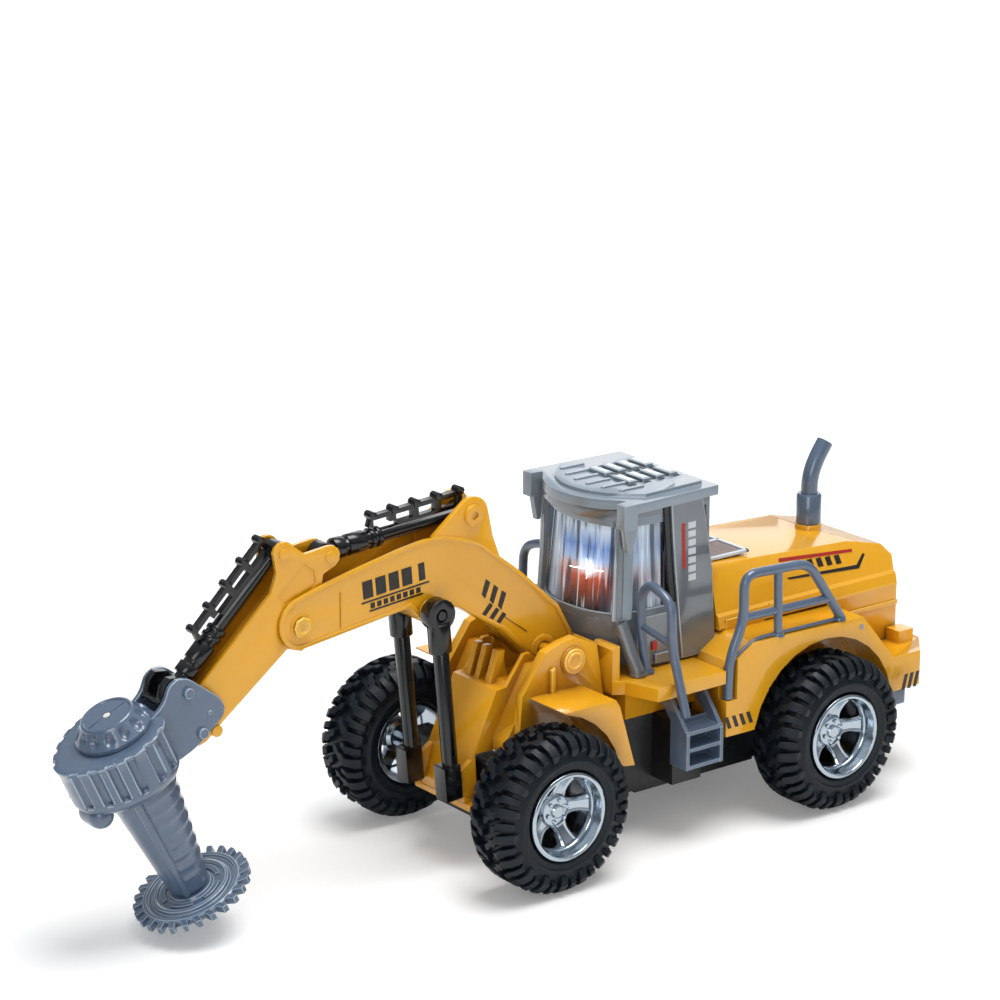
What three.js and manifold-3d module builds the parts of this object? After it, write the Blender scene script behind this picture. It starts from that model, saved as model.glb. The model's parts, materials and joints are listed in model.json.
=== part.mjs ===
// A toy wheeled excavator: a four-wheel truck with a loader front frame, a two-part arm and a
// motorised saw head, as an assembly of separate pieces. Millimetres; +X forward, +Y left, +Z up.
// The origin is on the ground under the middle of the whole toy's footprint.
import * as THREE from "three";
import { mergeVertices } from "three/addons/utils/BufferGeometryUtils.js";
import Module from "manifold-3d";

const wasm = await Module();
wasm.setup();

// ---------------------------------------------------------------- driving dimensions
const gap = 0.3; // clearance between separate pieces
const wall = 1.8; // moulded wall thickness

const tyreRadius = 30;
const tyreHalfWidth = 11.6;
const rimRadius = 16.4;
const wheelbase = 131.7;
const trackHalf = 45.9; // wheel centre plane to the middle of the truck
const frontAxleX = wheelbase / 2;
const rearAxleX = -wheelbase / 2;
const axleZ = tyreRadius;
const axleRadius = 2;
const kingpinY = 29;
const steeringArm = 12; // kingpin to tie rod

const chassisBottom = 17;
const chassisTop = 36.2;
const waistBottom = 46.3; // lower edge of the yellow body between the wheels
const chassisHalfWidth = 26;
const bodyHalfWidth = 45; // outer faces of the four wheel arches
const deckTop = 63;
const deckThickness = 5;
const stepRear = -13;
const stepFront = 4.5;
const rearArchRadius = 35.5;
const frontArchRadius = 33.8;
const bumperTop = 50.5;
const bumperRearX = -126;
const hoodFrontX = -28.5;
const hoodRearX = -119;

const cabBottom = deckTop + gap;
const cabTop = 124.6;
const cabSill = 85;
const roofTop = 128.6;

const earOuterY = 24.3; // front frame ears that carry the boom
const earThickness = 4;
const chinHalfWidth = 13;

const boomHalfWidth = 7.5;
const boomInside = 6.2;
const stickHalfWidth = 5.9;
const stickInside = 4.3;
const toolEarInside = 6.3;
const toolEarOutside = 8.2;

// Pivots of the arm in the side view, as [x, z]
const boomPivot = [38.8, 73.3];
const elbow = [143.8, 103.1];
const liftFoot = [83.6, 32];
const liftHead = [89.5, 97.8];
const dipperFoot = [70, 129.4];
const dipperHead = [130.5, 125.3];
const toolFoot = [149.4, 129.7];
const toolHead = [190.5, 89.6];
const wrist = [185.3, 74.2];
const liftY = 11.8;
const sawCentre = [186.2, 14.8];
const spindleTilt = THREE.MathUtils.degToRad(23.8);

// Gear train of the rear axle: teeth and module of each mesh
const axleTeeth = 24;
const reductionPinionTeeth = 10;
const slowModule = 0.8;
const reductionTeeth = 28;
const motorTeeth = 10;
const fastModule = 0.7;
const gearBacklash = 0.15;
const slowCentres = (slowModule * (axleTeeth + reductionPinionTeeth)) / 2 + gearBacklash;
const fastCentres = (fastModule * (reductionTeeth + motorTeeth)) / 2 + gearBacklash;
const reductionX = rearAxleX - slowCentres;
const motorX = reductionX - fastCentres;

// ---------------------------------------------------------------- materials
function plastic(colour, roughness = 0.35) {
  return new THREE.MeshStandardMaterial({ color: colour, roughness, metalness: 0 });
}
const yellow = plastic(0xe9a52c, 0.28);
const slate = plastic(0x6f7f92, 0.4);
const smoke = plastic(0x7d8388, 0.25);
const black = plastic(0x17191c, 0.4);
const rubber = plastic(0x232629, 0.85);
const clear = plastic(0xcfdde6, 0.08);
const white = plastic(0xe8e6df, 0.5);
const green = plastic(0x2c6b45, 0.6);
const chrome = new THREE.MeshStandardMaterial({ color: 0xd9dde0, roughness: 0.12, metalness: 1 });
const steel = new THREE.MeshStandardMaterial({ color: 0x9a9da0, roughness: 0.35, metalness: 1 });

// ---------------------------------------------------------------- solids and placing
const yAxis = new THREE.Vector3(0, 1, 0);

// A closed three.js geometry as a solid that can be joined and cut.
function solid(geometry) {
  const bare = geometry.clone();
  bare.deleteAttribute("normal");
  bare.deleteAttribute("uv");
  const merged = mergeVertices(bare, 1e-4);
  const index = merged.index.array;
  const triangles = [];
  for (let i = 0; i < index.length; i += 3) {
    const [a, b, c] = [index[i], index[i + 1], index[i + 2]];
    if (a !== b && b !== c && c !== a) triangles.push(a, b, c);
  }
  return new wasm.Manifold(
    new wasm.Mesh({
      numProp: 3,
      vertProperties: new Float32Array(merged.attributes.position.array),
      triVerts: new Uint32Array(triangles),
    }),
  );
}

function join(first, ...others) {
  return others.flat().reduce((whole, piece) => whole.add(piece), first);
}

function cut(first, ...tools) {
  return tools.flat().reduce((rest, tool) => rest.subtract(tool), first);
}

function box([x0, x1], [y0, y1], [z0, z1]) {
  const geometry = new THREE.BoxGeometry(x1 - x0, y1 - y0, z1 - z0);
  geometry.translate((x0 + x1) / 2, (y0 + y1) / 2, (z0 + z1) / 2);
  return solid(geometry);
}

function closedShape(points) {
  return new THREE.Shape(points.map(([a, b]) => new THREE.Vector2(a, b)));
}

// A plate whose outline is drawn in the side view as [x, z], reaching from y0 to y1.
function sidePlate(points, y0, y1) {
  const geometry = new THREE.ExtrudeGeometry(closedShape(points), {
    depth: y1 - y0,
    bevelEnabled: false,
  });
  geometry.rotateX(Math.PI / 2);
  geometry.translate(0, y1, 0);
  return solid(geometry);
}

// A plate whose outline is drawn in the plan view as [x, y], reaching from z0 to z1.
function planPlate(points, z0, z1) {
  const geometry = new THREE.ExtrudeGeometry(closedShape(points), {
    depth: z1 - z0,
    bevelEnabled: false,
  });
  geometry.translate(0, 0, z0);
  return solid(geometry);
}

// A bar whose section is drawn in the front view as [y, z], reaching from x0 to x1.
function frontBar(points, x0, x1) {
  const geometry = new THREE.ExtrudeGeometry(closedShape(points), {
    depth: x1 - x0,
    bevelEnabled: false,
  });
  const turn = new THREE.Matrix4().makeBasis(
    new THREE.Vector3(0, 1, 0),
    new THREE.Vector3(0, 0, 1),
    new THREE.Vector3(1, 0, 0),
  );
  geometry.applyMatrix4(turn);
  geometry.translate(x0, 0, 0);
  return solid(geometry);
}

// A cylinder or cone from one point to another.
function rod(from, to, radius, sides = 16, endRadius = radius) {
  const start = new THREE.Vector3(...from);
  const end = new THREE.Vector3(...to);
  const along = end.clone().sub(start);
  const geometry = new THREE.CylinderGeometry(endRadius, radius, along.length(), sides);
  geometry.applyQuaternion(
    new THREE.Quaternion().setFromUnitVectors(yAxis, along.clone().normalize()),
  );
  geometry.translate(...start.add(end).multiplyScalar(0.5).toArray());
  return solid(geometry);
}

// A pin across the truck at a side-view point.
function crossPin([x, z], y0, y1, radius, sides = 16) {
  return rod([x, y0, z], [x, y1, z], radius, sides);
}

// The two copies of a piece that lie on the left and on the right.
function bothSides(make) {
  return [make(1), make(-1)];
}

function span(side, near, far) {
  return side > 0 ? [near, far] : [-far, -near];
}

// A solid of revolution about the Y axis; the profile is [radius, y] points, closed or axis to axis.
function turned(profile, sides = 24) {
  const points = profile.map(([r, y]) => new THREE.Vector2(r, y));
  const first = points[0];
  const last = points[points.length - 1];
  if (first.x > 0 || last.x > 0) points.push(first.clone());
  if (THREE.ShapeUtils.area(points) < 0) points.reverse();
  return solid(new THREE.LatheGeometry(points, sides));
}

// The point on a circle at an angle in degrees.
function onCircle([cx, cy], radius, degrees) {
  const angle = THREE.MathUtils.degToRad(degrees);
  return [cx + radius * Math.cos(angle), cy + radius * Math.sin(angle)];
}

// Points on an arc between two angles in degrees, for outlines.
function arc(centre, radius, from, to, steps) {
  const turn = (to - from) / steps;
  return Array.from({ length: steps + 1 }, (_, i) => onCircle(centre, radius, from + turn * i));
}

// An outline moved inwards by a distance; the outline runs anticlockwise.
function inset(points, distance) {
  return points.map((point, i) => {
    const before = points[(i + points.length - 1) % points.length];
    const after = points[(i + 1) % points.length];
    const a = new THREE.Vector2(point[0] - before[0], point[1] - before[1]).normalize();
    const b = new THREE.Vector2(after[0] - point[0], after[1] - point[1]).normalize();
    const normal = new THREE.Vector2(-a.y - b.y, a.x + b.x).normalize();
    const reach = distance / Math.max(0.5, normal.dot(new THREE.Vector2(-a.y, a.x)));
    return [point[0] + normal.x * reach, point[1] + normal.y * reach];
  });
}

// A round bar along a bent line whose corners are rounded.
function bentBar(points, radius, corner = 4, sides = 6) {
  const nodes = points.map((p) => new THREE.Vector3(...p));
  const path = new THREE.CurvePath();
  let here = nodes[0];
  for (let i = 1; i < nodes.length - 1; i++) {
    const into = nodes[i].clone().sub(nodes[i - 1]);
    const out = nodes[i + 1].clone().sub(nodes[i]);
    const bend = Math.min(corner, into.length() / 2, out.length() / 2);
    const start = nodes[i].clone().sub(into.setLength(bend));
    const end = nodes[i].clone().add(out.setLength(bend));
    path.add(new THREE.LineCurve3(here, start));
    path.add(new THREE.QuadraticBezierCurve3(start, nodes[i], end));
    here = end;
  }
  path.add(new THREE.LineCurve3(here, nodes[nodes.length - 1]));
  const ring = new THREE.Shape().setFromPoints(
    arc([0, 0], radius, 0, 360 - 360 / sides, sides - 1).map(([a, b]) => new THREE.Vector2(a, b)),
  );
  const step = 6; // length of one straight piece of the sweep
  const geometry = new THREE.ExtrudeGeometry(ring, {
    steps: Math.max(2, Math.round(path.getLength() / step)),
    extrudePath: path,
  });
  return solid(geometry);
}

const toy = new THREE.Group();

// Adds a finished piece to a group under its own name.
function add(name, piece, material, parent = toy) {
  const raw = piece.getMesh();
  const geometry = new THREE.BufferGeometry();
  const stride = raw.numProp;
  const positions = new Float32Array(raw.numVert * 3);
  for (let i = 0; i < raw.numVert; i++) {
    positions.set(raw.vertProperties.subarray(i * stride, i * stride + 3), i * 3);
  }
  geometry.setAttribute("position", new THREE.BufferAttribute(positions, 3));
  geometry.setIndex(new THREE.BufferAttribute(new Uint32Array(raw.triVerts), 1));
  geometry.computeVertexNormals();
  const mesh = new THREE.Mesh(geometry, material);
  mesh.name = name;
  parent.add(mesh);
  return mesh;
}

// ---------------------------------------------------------------- wheels
// In a wheel's own frame the axle is the Y axis and +Y points away from the truck.
function tyre() {
  const bead = rimRadius + gap;
  const w = tyreHalfWidth;
  return turned(
    [
      [bead, -w + 1.6],
      [22, -w],
      [27.4, -w + 0.5],
      [tyreRadius, -w + 3.4],
      [tyreRadius, w - 3.4],
      [27.4, w - 0.5],
      [22, w],
      [bead, w - 1.6],
    ],
    28,
  );
}

function spokeWindow(index) {
  const inner = 6.2;
  const outer = 13.6;
  const centre = 72 * index + 36;
  const outline = [...arc([0, 0], inner, centre - 12, centre + 12, 1)];
  outline.push(...arc([0, 0], outer, centre + 25, centre - 25, 2));
  return sidePlate(outline, -7, 9);
}

function rim() {
  const barrelOuter = rimRadius - 0.4;
  const barrel = turned(
    [
      [14.4, -9.6],
      [barrelOuter, -9.6],
      [barrelOuter, 9],
      [rimRadius, 9.6],
      [rimRadius, 11],
      [15.2, 11],
      [14.4, 8],
    ],
    20,
  );
  const dish = turned([[0, -4], [14.9, 0.4], [14.9, 4], [6, 2.4], [5, 3.4], [0, 3.4]], 20);
  const hub = rod([0, -9, 0], [0, 0, 0], 4.6, 12);
  const windows = Array.from({ length: 5 }, (_, i) => spokeWindow(i));
  const bore = rod([0, -10, 0], [0, 0.6, 0], axleRadius + gap, 10);
  return cut(join(barrel, cut(dish, windows), hub), bore);
}

function addWheel(place, x, side) {
  const wheel = new THREE.Group();
  wheel.position.set(x, side * trackHalf, axleZ);
  if (side < 0) wheel.rotation.z = Math.PI;
  add("tyre_" + place, tyre(), rubber, wheel);
  add("rim_" + place, rim(), chrome, wheel);
  toy.add(wheel);
}

// ---------------------------------------------------------------- drive train
function gearOutline(teeth, module, phase = 0) {
  const pitch = (teeth * module) / 2;
  const points = [];
  const tooth = 360 / teeth;
  const corners = [
    [pitch - 1.15 * module, 0.29],
    [pitch + 0.8 * module, 0.12],
    [pitch + 0.8 * module, -0.12],
    [pitch - 1.15 * module, -0.29],
  ];
  for (let i = 0; i < teeth; i++) {
    for (const [radius, share] of corners) {
      points.push(onCircle([0, 0], radius, phase + tooth * (i - share)));
    }
  }
  return points;
}

function gear(teeth, module, [y0, y1], phase) {
  return sidePlate(gearOutline(teeth, module, phase), y0, y1);
}

function addDriveTrain() {
  const slowGears = [14, 18];
  const fastGears = [8.5, 12.5];
  const shaftEnd = trackHalf + 0.2;
  const shaft = rod([0, -shaftEnd, 0], [0, shaftEnd, 0], axleRadius - 0.1, 16);
  const axle = new THREE.Group();
  axle.position.set(rearAxleX, 0, axleZ);
  add("rear_axle_shaft", shaft, steel, axle);
  const wheelGear = gear(axleTeeth, slowModule, slowGears, 0);
  const gearBore = rod([0, 0, 0], [0, 30, 0], axleRadius + 0.2, 16);
  const collar = rod([0, 13.4, 0], [0, 19.5, 0], 4, 16);
  add("axle_gear", cut(join(wheelGear, collar), gearBore), white, axle);
  toy.add(axle);

  const idler = new THREE.Group();
  idler.position.set(reductionX, 0, axleZ);
  const halfTooth = 180 / reductionPinionTeeth;
  const pinion = gear(reductionPinionTeeth, slowModule, [12, 18], halfTooth);
  const wheel = gear(reductionTeeth, fastModule, fastGears, 180 / reductionTeeth);
  const spindle = rod([0, 5, 0], [0, 22, 0], 1.4, 12);
  add("reduction_gear", join(wheel, pinion, spindle), white, idler);
  toy.add(idler);

  const motor = new THREE.Group();
  motor.position.set(motorX, 0, axleZ);
  const can = rod([0, -18, 0], [0, 6, 0], 9, 24);
  const nose = rod([0, 5, 0], [0, 7, 0], 3, 16);
  const shaftHole = rod([0, -12, 0], [0, 8, 0], 1.3, 12);
  add("drive_motor", cut(join(can, nose), shaftHole), steel, motor);
  const motorPinion = gear(motorTeeth, fastModule, [8, 13], 0);
  const motorShaft = rod([0, -10, 0], [0, 12, 0], 1, 12);
  add("motor_pinion", join(motorPinion, motorShaft), steel, motor);
  toy.add(motor);
}

// ---------------------------------------------------------------- chassis and its contents
const batteryBay = { x: [-47, 7], halfWidth: 22.4 };

function chassisTub() {
  const w = chassisHalfWidth;
  const outside = sidePlate(
    [
      [-110, chassisBottom],
      [20, chassisBottom],
      [20, waistBottom - gap],
      [-16.4, waistBottom - gap],
      [-16.4, chassisTop],
      [-113, chassisTop],
      [-116, 30],
    ],
    -w,
    w,
  );
  const inside = box([-111, 20 - wall], [-w + wall, w - wall], [chassisBottom + wall, 60]);
  const tankX = [stepRear + 1.9, stepFront - 1.9];
  const sideTanks = bothSides((s) => box(tankX, span(s, w - 1, 38), [21, 46]));
  const nose = box([19, 36], [-earOuterY, earOuterY], [chassisBottom, 21.4]);
  const spine = box([30, 73.4], [-11, 11], [chassisBottom, 21.4]);
  const bay = box(batteryBay.x, [-batteryBay.halfWidth, batteryBay.halfWidth], [0, 25]);
  const axleSlot = box([rearAxleX - 2.4, rearAxleX + 2.4], [-40, 40], [axleZ - 2.4, 60]);
  const switchSlot = box([10.5, 15.5], [-5.4, 5.4], [0, 25]);
  return cut(join(cut(outside, inside), sideTanks, nose, spine), bay, axleSlot, switchSlot);
}

function addChassisContents() {
  const w = batteryBay.halfWidth;
  const [bayRear, bayFront] = batteryBay.x;
  const lid = box([bayRear - 2, bayFront + 2], [-w - 2, w + 2], [chassisBottom - 2, chassisBottom - gap]);
  const tongue = box([bayRear + gap, bayFront - gap], [-w + gap, w - gap], [chassisBottom - 1, 18.6]);
  add("battery_cover", join(lid, tongue), black);

  const cellRadius = 7.1;
  const cells = [-1, 0, 1].map((i) => {
    const y = i * 2 * cellRadius;
    return rod([-45, y, 26.2], [5, y, 26.2], cellRadius + 0.05, 14);
  });
  const strap = box([-26, -14], [-2 * cellRadius, 2 * cellRadius], [24, 28.4]);
  add("battery_pack", join(strap, cells), green);

  const board = box([-42, -8], [-18, 18], [39, 40.6]);
  const chip = box([-30, -20], [-5, 5], [40, 42.6]);
  const radioCan = box([-17, -11], [6, 14], [40, 44]);
  const posts = [-40, -10].map((x) => rod([x, 0, 34.6], [x, 0, 39.5], 2, 8));
  add("circuit_board", join(board, chip, radioCan, posts), green);

  const knob = box([11, 13.6], [-4.8, -0.2], [chassisBottom - 1.8, 19.4]);
  const slider = box([10.8, 15.2], [-5.2, 1.2], [19.2, 21]);
  add("power_switch", cut(join(knob, slider), box([10, 16], [-6, 6], [20.6, 22])), white);
}

// ---------------------------------------------------------------- front axle and steering
function addFrontAxle() {
  const forkInner = kingpinY - 5.2;
  const forkOuter = kingpinY + 3.2;
  const centre = box([frontAxleX - 5.5, frontAxleX + 5.5], [-forkInner, forkInner], [21.7, 38.3]);
  const arms = bothSides((s) => [
    box([frontAxleX - 4, frontAxleX + 4], span(s, forkInner - 1, forkOuter), [21.7, 24.7]),
    box([frontAxleX - 4, frontAxleX + 4], span(s, forkInner - 1, forkOuter), [35.3, 38.3]),
  ]).flat();
  const pinHoles = bothSides((s) =>
    rod([frontAxleX, s * kingpinY, 20], [frontAxleX, s * kingpinY, 40], 1.7, 12),
  );
  add("front_axle_beam", cut(join(centre, arms), pinHoles), black);

  for (const [name, side] of [["left", 1], ["right", -1]]) {
    const post = rod([0, 0, -5 + gap], [0, 0, 5 - gap], 3.2, 16);
    const kingpin = rod([0, 0, -8.2], [0, 0, 8.2], 1.4, 12);
    const stub = rod([0, 0, 0], [0, side * (trackHalf - kingpinY), 0], axleRadius, 12);
    const arm = box([-steeringArm - 2, 0], [-1.8, 1.8], [-4.7, -2]);
    const peg = rod([-steeringArm, 0, -3], [-steeringArm, 0, 1.6], 1.2, 12);
    const knuckle = new THREE.Group();
    knuckle.position.set(frontAxleX, side * kingpinY, axleZ);
    add("steering_knuckle_" + name, join(post, kingpin, stub, arm, peg), black, knuckle);
    toy.add(knuckle);
  }

  const rodX = frontAxleX - steeringArm;
  const tieRod = box([rodX - 2.8, rodX + 2.8], [-kingpinY - 2.2, kingpinY + 2.2], [28.4, 30.6]);
  const slots = bothSides((s) =>
    box([rodX - 1.9, rodX + 1.9], [s * kingpinY - 1.6, s * kingpinY + 1.6], [27, 32]),
  );
  const driveSlot = box([rodX - 4, rodX - 0.6], [-3.8, 3.8], [27, 32]);
  add("tie_rod", cut(tieRod, slots, driveSlot), black);

  const servoCase = box([36.4, 48.6], [-9, 9], [21.8, 36]);
  const servoFinger = rod([47, 0, 29.5], [52.2, 0, 29.5], 1.1, 10);
  add("steering_motor", join(servoCase, servoFinger), steel);
}

// ---------------------------------------------------------------- rear body
function rearBody() {
  const w = bodyHalfWidth;
  const arches = sidePlate(
    [
      [-17, 37.3],
      [-17, 58],
      [-20.4, 65.1],
      [-30.5, 71.2],
      [-84.8, 70.2],
      [-101.4, bumperTop],
      [bumperRearX, bumperTop],
      [bumperRearX, 37],
      [-104.8, 36.6],
    ],
    -w,
    w,
  );
  const deck = planPlate(
    [
      [23.6, -28.5],
      [23.6, 28.5],
      [19.9, 31],
      [15.4, 44.6],
      [-17.5, 44.6],
      [-17.5, -44.6],
      [15.4, -44.6],
      [19.9, -31],
    ],
    deckTop - deckThickness,
    deckTop,
  );
  const waist = box([-110, 16], [-27, 27], [waistBottom, deckTop - 1]);
  const bulkheadSide = [[18, 59], [23.6, 59], [26.4, 76], [24.2, 76], [23.4, 64.4], [18, 62]];
  const bulkhead = sidePlate(bulkheadSide, -19.6, 19.6);
  const wings = bothSides((s) =>
    sidePlate([[20.2, 60], [23.6, 60], [23.6, 75], [22.4, 76], [20.2, 76]], ...span(s, 17, 28.5)),
  );
  const wheelHoles = bothSides((s) => {
    const [y0, y1] = span(s, 31, 50);
    return crossPin([rearAxleX, axleZ], y0, y1, rearArchRadius, 28);
  });
  const cavity = box([-116, 14.2], [-25.2, 25.2], [30, deckTop - wall]);
  const hoodOpening = box([-114, -31], [-22, 22], [50, 80]);
  const hoodSeat = box([-110, -86.3], [-27.5, 27.5], [bumperTop, 80]);
  const cabSeat = box([-26, 0], [-25.4, 25.4], [deckTop, 80]);
  const heelRoom = crossPin(boomPivot, -8.2, 8.2, 14.6, 32);
  const cornerPockets = bothSides((s) => box([-27, -23.4], span(s, 32, 43.2), [30, 62]));
  const railSlots = bothSides((s) => box([-22.2, -16.9], span(s, 40.4, 46), [51, 80]));
  const cornerCuts = bothSides((s) => {
    const corner = [[bumperRearX - 1, s * 32], [bumperRearX - 1, s * 50], [-111, s * 50]];
    if (s < 0) corner.reverse();
    return planPlate(corner, 30, 56);
  });
  const lampBlocks = bothSides((s) => box([-121, -113.5], span(s, 28, 35), [bumperTop - 1, 55.6]));
  return cut(
    join(arches, deck, waist, bulkhead, wings, lampBlocks),
    cavity,
    hoodOpening,
    hoodSeat,
    cabSeat,
    heelRoom,
    wheelHoles,
    cornerPockets,
    railSlots,
    cornerCuts,
  );
}

function hoodSection(shrink) {
  const half = [
    [27.4 - shrink, 72],
    [26.4 - shrink, 76.4],
    [25.2 - shrink, 77.2],
    [21.4 - shrink, 93.4 - shrink],
    [19.8 - shrink, 95 - shrink],
  ];
  return [...half, ...half.map(([y, z]) => [-y, z]).reverse()];
}

// Everything above the hood's falling roof line, lowered by a distance.
function aboveHood(drop) {
  return sidePlate(
    [
      [hoodFrontX + 1, 95.1 - drop],
      [-60, 93.8 - drop],
      [-97, 92 - drop],
      [-114 + drop, 88 - drop],
      [-120 + drop, 82 - drop],
      [-130 + drop, 60 - drop],
      [-140, 60 - drop],
      [-140, 110],
      [hoodFrontX + 1, 110],
    ],
    -40,
    40,
  );
}

function hood() {
  const upper = frontBar(hoodSection(0), hoodRearX, hoodFrontX);
  const skirt = box([hoodRearX + 1, hoodFrontX], [-27.4, 27.4], [71.4, 72.5]);
  const rearSkirt = box([hoodRearX, -86.6], [-27.2, 27.2], [bumperTop + gap, 72.5]);
  const shell = cut(join(upper, skirt, rearSkirt), aboveHood(0));
  const insideX = [hoodRearX + wall, hoodFrontX - wall];
  const hollow = join(frontBar(hoodSection(wall), ...insideX), box(insideX, [-25.4, 25.4], [40, 72.6]));
  const boss = rod([-97, 0, 88.5], [-97, 0, 94.2], 5.2, 16);
  return join(cut(shell, cut(hollow, aboveHood(wall))), boss);
}

function addBody() {
  add("rear_body", rearBody(), yellow);
  add("engine_hood", hood(), yellow);

  const plate = box([-51.3, -30.5], [-17.3, 17.3], [95.2, 96.2]);
  const slots = [0, 1, 2, 3, 4].map((i) => {
    const x = -49.3 + 3.7 * i;
    return box([x, x + 2], [-15, 15], [94, 97]);
  });
  add("hood_vent", cut(plate, slots), black);

  const collar = rod([-97, 0, 94.5], [-97, 0, 106], 4.7, 20);
  const pipe = bentBar([[-97, 0, 105], [-97.4, 0, 114], [-104.6, 0, 125.2]], 3.2, 6, 14);
  const mouth = rod([-101.9, 0, 121], [-106, 0, 127.4], 2.2, 12);
  add("exhaust_stack", cut(join(collar, pipe), mouth), slate);

  const bar = planPlate(
    [
      [-104, -43],
      [-104, 43],
      [-110, 43],
      [-121, 32],
      [-121, -32],
      [-110, -43],
    ],
    29.5,
    36.3,
  );
  const notch = box([-117, -100], [-30, 30], [28, 38]);
  const lampSeats = bothSides((s) => box([-123, -119], span(s, 20, 28), [31, 35]));
  add("rear_light_bar", cut(bar, notch, lampSeats), slate);
}

// ---------------------------------------------------------------- cab
const cabPlan = [
  [23, -9],
  [23, 9],
  [17, 23],
  [-6, 25],
  [-25.5, 25],
  [-25.5, -25],
  [-6, -25],
  [17, -23],
];

function cabFrame() {
  const lower = cut(
    planPlate(cabPlan, cabBottom, cabSill),
    planPlate(inset(cabPlan, wall), cabBottom - 1, cabSill + 1),
    box([10, 40], [-40, 40], [cabBottom - 1, 66]),
  );
  const header = cut(
    planPlate(inset(cabPlan, 0.6), 120.6, cabTop),
    planPlate(inset(cabPlan, 2.8), 119, cabTop + 1),
  );
  const sidePanel = [[-25.4, cabSill - 1], [-7.4, cabSill - 1], [-5.8, cabTop], [-21, cabTop]];
  const panels = bothSides((s) => sidePlate(sidePanel, ...span(s, 23, 24.8)));
  const rearWall = box([-25.4, -23.6], [-24, 24], [cabSill - 1, cabTop - 4]);
  const rearTop = box([-25.4, -20], [-24, 24], [120.6, cabTop]);
  const pillars = bothSides((s) =>
    rod([16, s * 22.2, cabSill - 1], [15, s * 21.6, cabTop - 1], 1.7, 8),
  );
  const struts = bothSides((s) =>
    rod([16.2, s * 23.4, cabSill - 3], [12, s * 29, deckTop + 1.3], 2.6, 10),
  );
  return join(lower, header, panels, rearWall, rearTop, pillars, struts);
}

function cabGlass() {
  const plan = [
    [-5.2, 22.4],
    [12.9, 20.6],
    [13.9, 18.6],
    [20.4, 8.2],
    [20.4, -8.2],
    [13.9, -18.6],
    [12.9, -20.6],
    [-5.2, -22.4],
    [-5.2, -21],
    [11.9, -19.4],
    [19, -7.6],
    [19, 7.6],
    [11.9, 19.4],
    [-5.2, 21],
  ];
  return planPlate(plan.reverse(), 80, 120.2);
}

function cabRoof() {
  const visor = arc([-5, 0], 30.5, -47, 47, 8);
  const corner = [[14.5, 24.6], [19.6, 25.2], [19.6, 29.8], [10, 29.8], [-25.7, 28.4]];
  const farCorner = corner.map(([x, y]) => [x, -y]).reverse();
  const plan = [...visor, ...corner, ...farCorner];
  const slab = planPlate(plan, cabTop + gap, roofTop);
  const crownPlan = [...arc([-5, 0], 26, -47, 47, 8), [6, 25], [-21.4, 24], [-21.4, -24], [6, -25]];
  const crown = planPlate(crownPlan, roofTop - 0.5, roofTop + 1.4);
  const vents = [0, 1, 2, 3].map((i) => {
    const x = -20 + 7 * i;
    return box([x, x + 3.2], [-14, 14], [roofTop + 0.4, roofTop + 3]);
  });
  const corners = bothSides((s) => box([13.6, 19.6], span(s, 25.2, 29.8), [119.4, roofTop - 1]));
  const blades = bothSides((s) => {
    const outline = [[12, cabTop + 1], [12.4, 116], [14.8, 110], [16.2, 110], [17.8, 118], [18, cabTop + 1]];
    return sidePlate(outline, ...span(s, 25.4, 28));
  });
  return join(cut(join(slab, crown), vents), corners, blades);
}

function addCab() {
  add("cab_frame", cabFrame(), smoke);
  add("cab_glass", cabGlass(), clear);
  add("cab_roof", cabRoof(), slate);
  const stand = box([-2, 8], [-12, 12], [deckTop + gap, 84]);
  const lamp = rod([3, 0, 83], [3, 0, 96], 2.5, 12);
  const seatBack = box([-12, -8], [-9, 9], [deckTop + gap, 100]);
  const tray = box([-12, 8], [-12, 12], [deckTop + gap, 65]);
  add("cab_lamp_stand", join(stand, lamp, seatBack, tray), white);
}

// ---------------------------------------------------------------- rails and steps
function addRailsAndSteps() {
  const stepX = [stepRear, stepFront];
  const stringer = [
    [33, 57.6],
    [33, 53],
    [38.8, 47],
    [38.8, 30],
    [48.2, 30],
    [48.2, 43.4],
    [37, 57.6],
  ];
  for (const [name, side] of [["left", 1], ["right", -1]]) {
    const mirrored = new THREE.Group();
    mirrored.scale.y = side;
    const plates = [
      frontBar(stringer, stepX[1] - 1.5, stepX[1]),
      frontBar(stringer, stepX[0], stepX[0] + 1.5),
    ];
    const treads = [30, 36.6, 43.2].map((z) => box(stepX, [38.8, 48], [z, z + 1.4]));
    const back = box(stepX, [38.8, 40], [30, 46.6]);
    add("step_" + name, join(back, plates, treads), slate, mirrored);

    const footX = stepX[1] + 2.1;
    const railX = footX + 2;
    const outerPost = bentBar(
      [
        [footX + 0.8, 29, deckTop + gap],
        [railX, 26.4, 78],
        [railX, 26.4, 93],
        [railX, 31.4, 98.2],
        [railX, 43.4, 94],
        [railX, 44, 77],
        [footX, 50, 52],
      ],
      1.7,
      4,
    );
    const crossBar = rod([railX, 26.4, 81], [railX, 43.8, 78], 1.3, 8);
    add("grab_rail_" + name, join(outerPost, crossBar), slate, mirrored);

    const railY = 43;
    const frame = bentBar(
      [
        [-19.4, railY, 51.4],
        [-19.8, railY, 66.4],
        [-26.4, railY, 80.4],
        [-26.2, railY, 97.6],
        [-57.6, railY, 96.2],
        [-74.6, railY, 72],
      ],
      1.75,
      4,
    );
    const midPost = rod([-43.4, railY, 71.4], [-42.8, railY, 96.6], 1.6, 8);
    const midRail = rod([-26.4, railY, 80.4], [-68.6, railY, 80], 1.5, 8);
    add("fender_rail_" + name, join(frame, midPost, midRail), slate, mirrored);
    toy.add(mirrored);
  }
}

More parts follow.
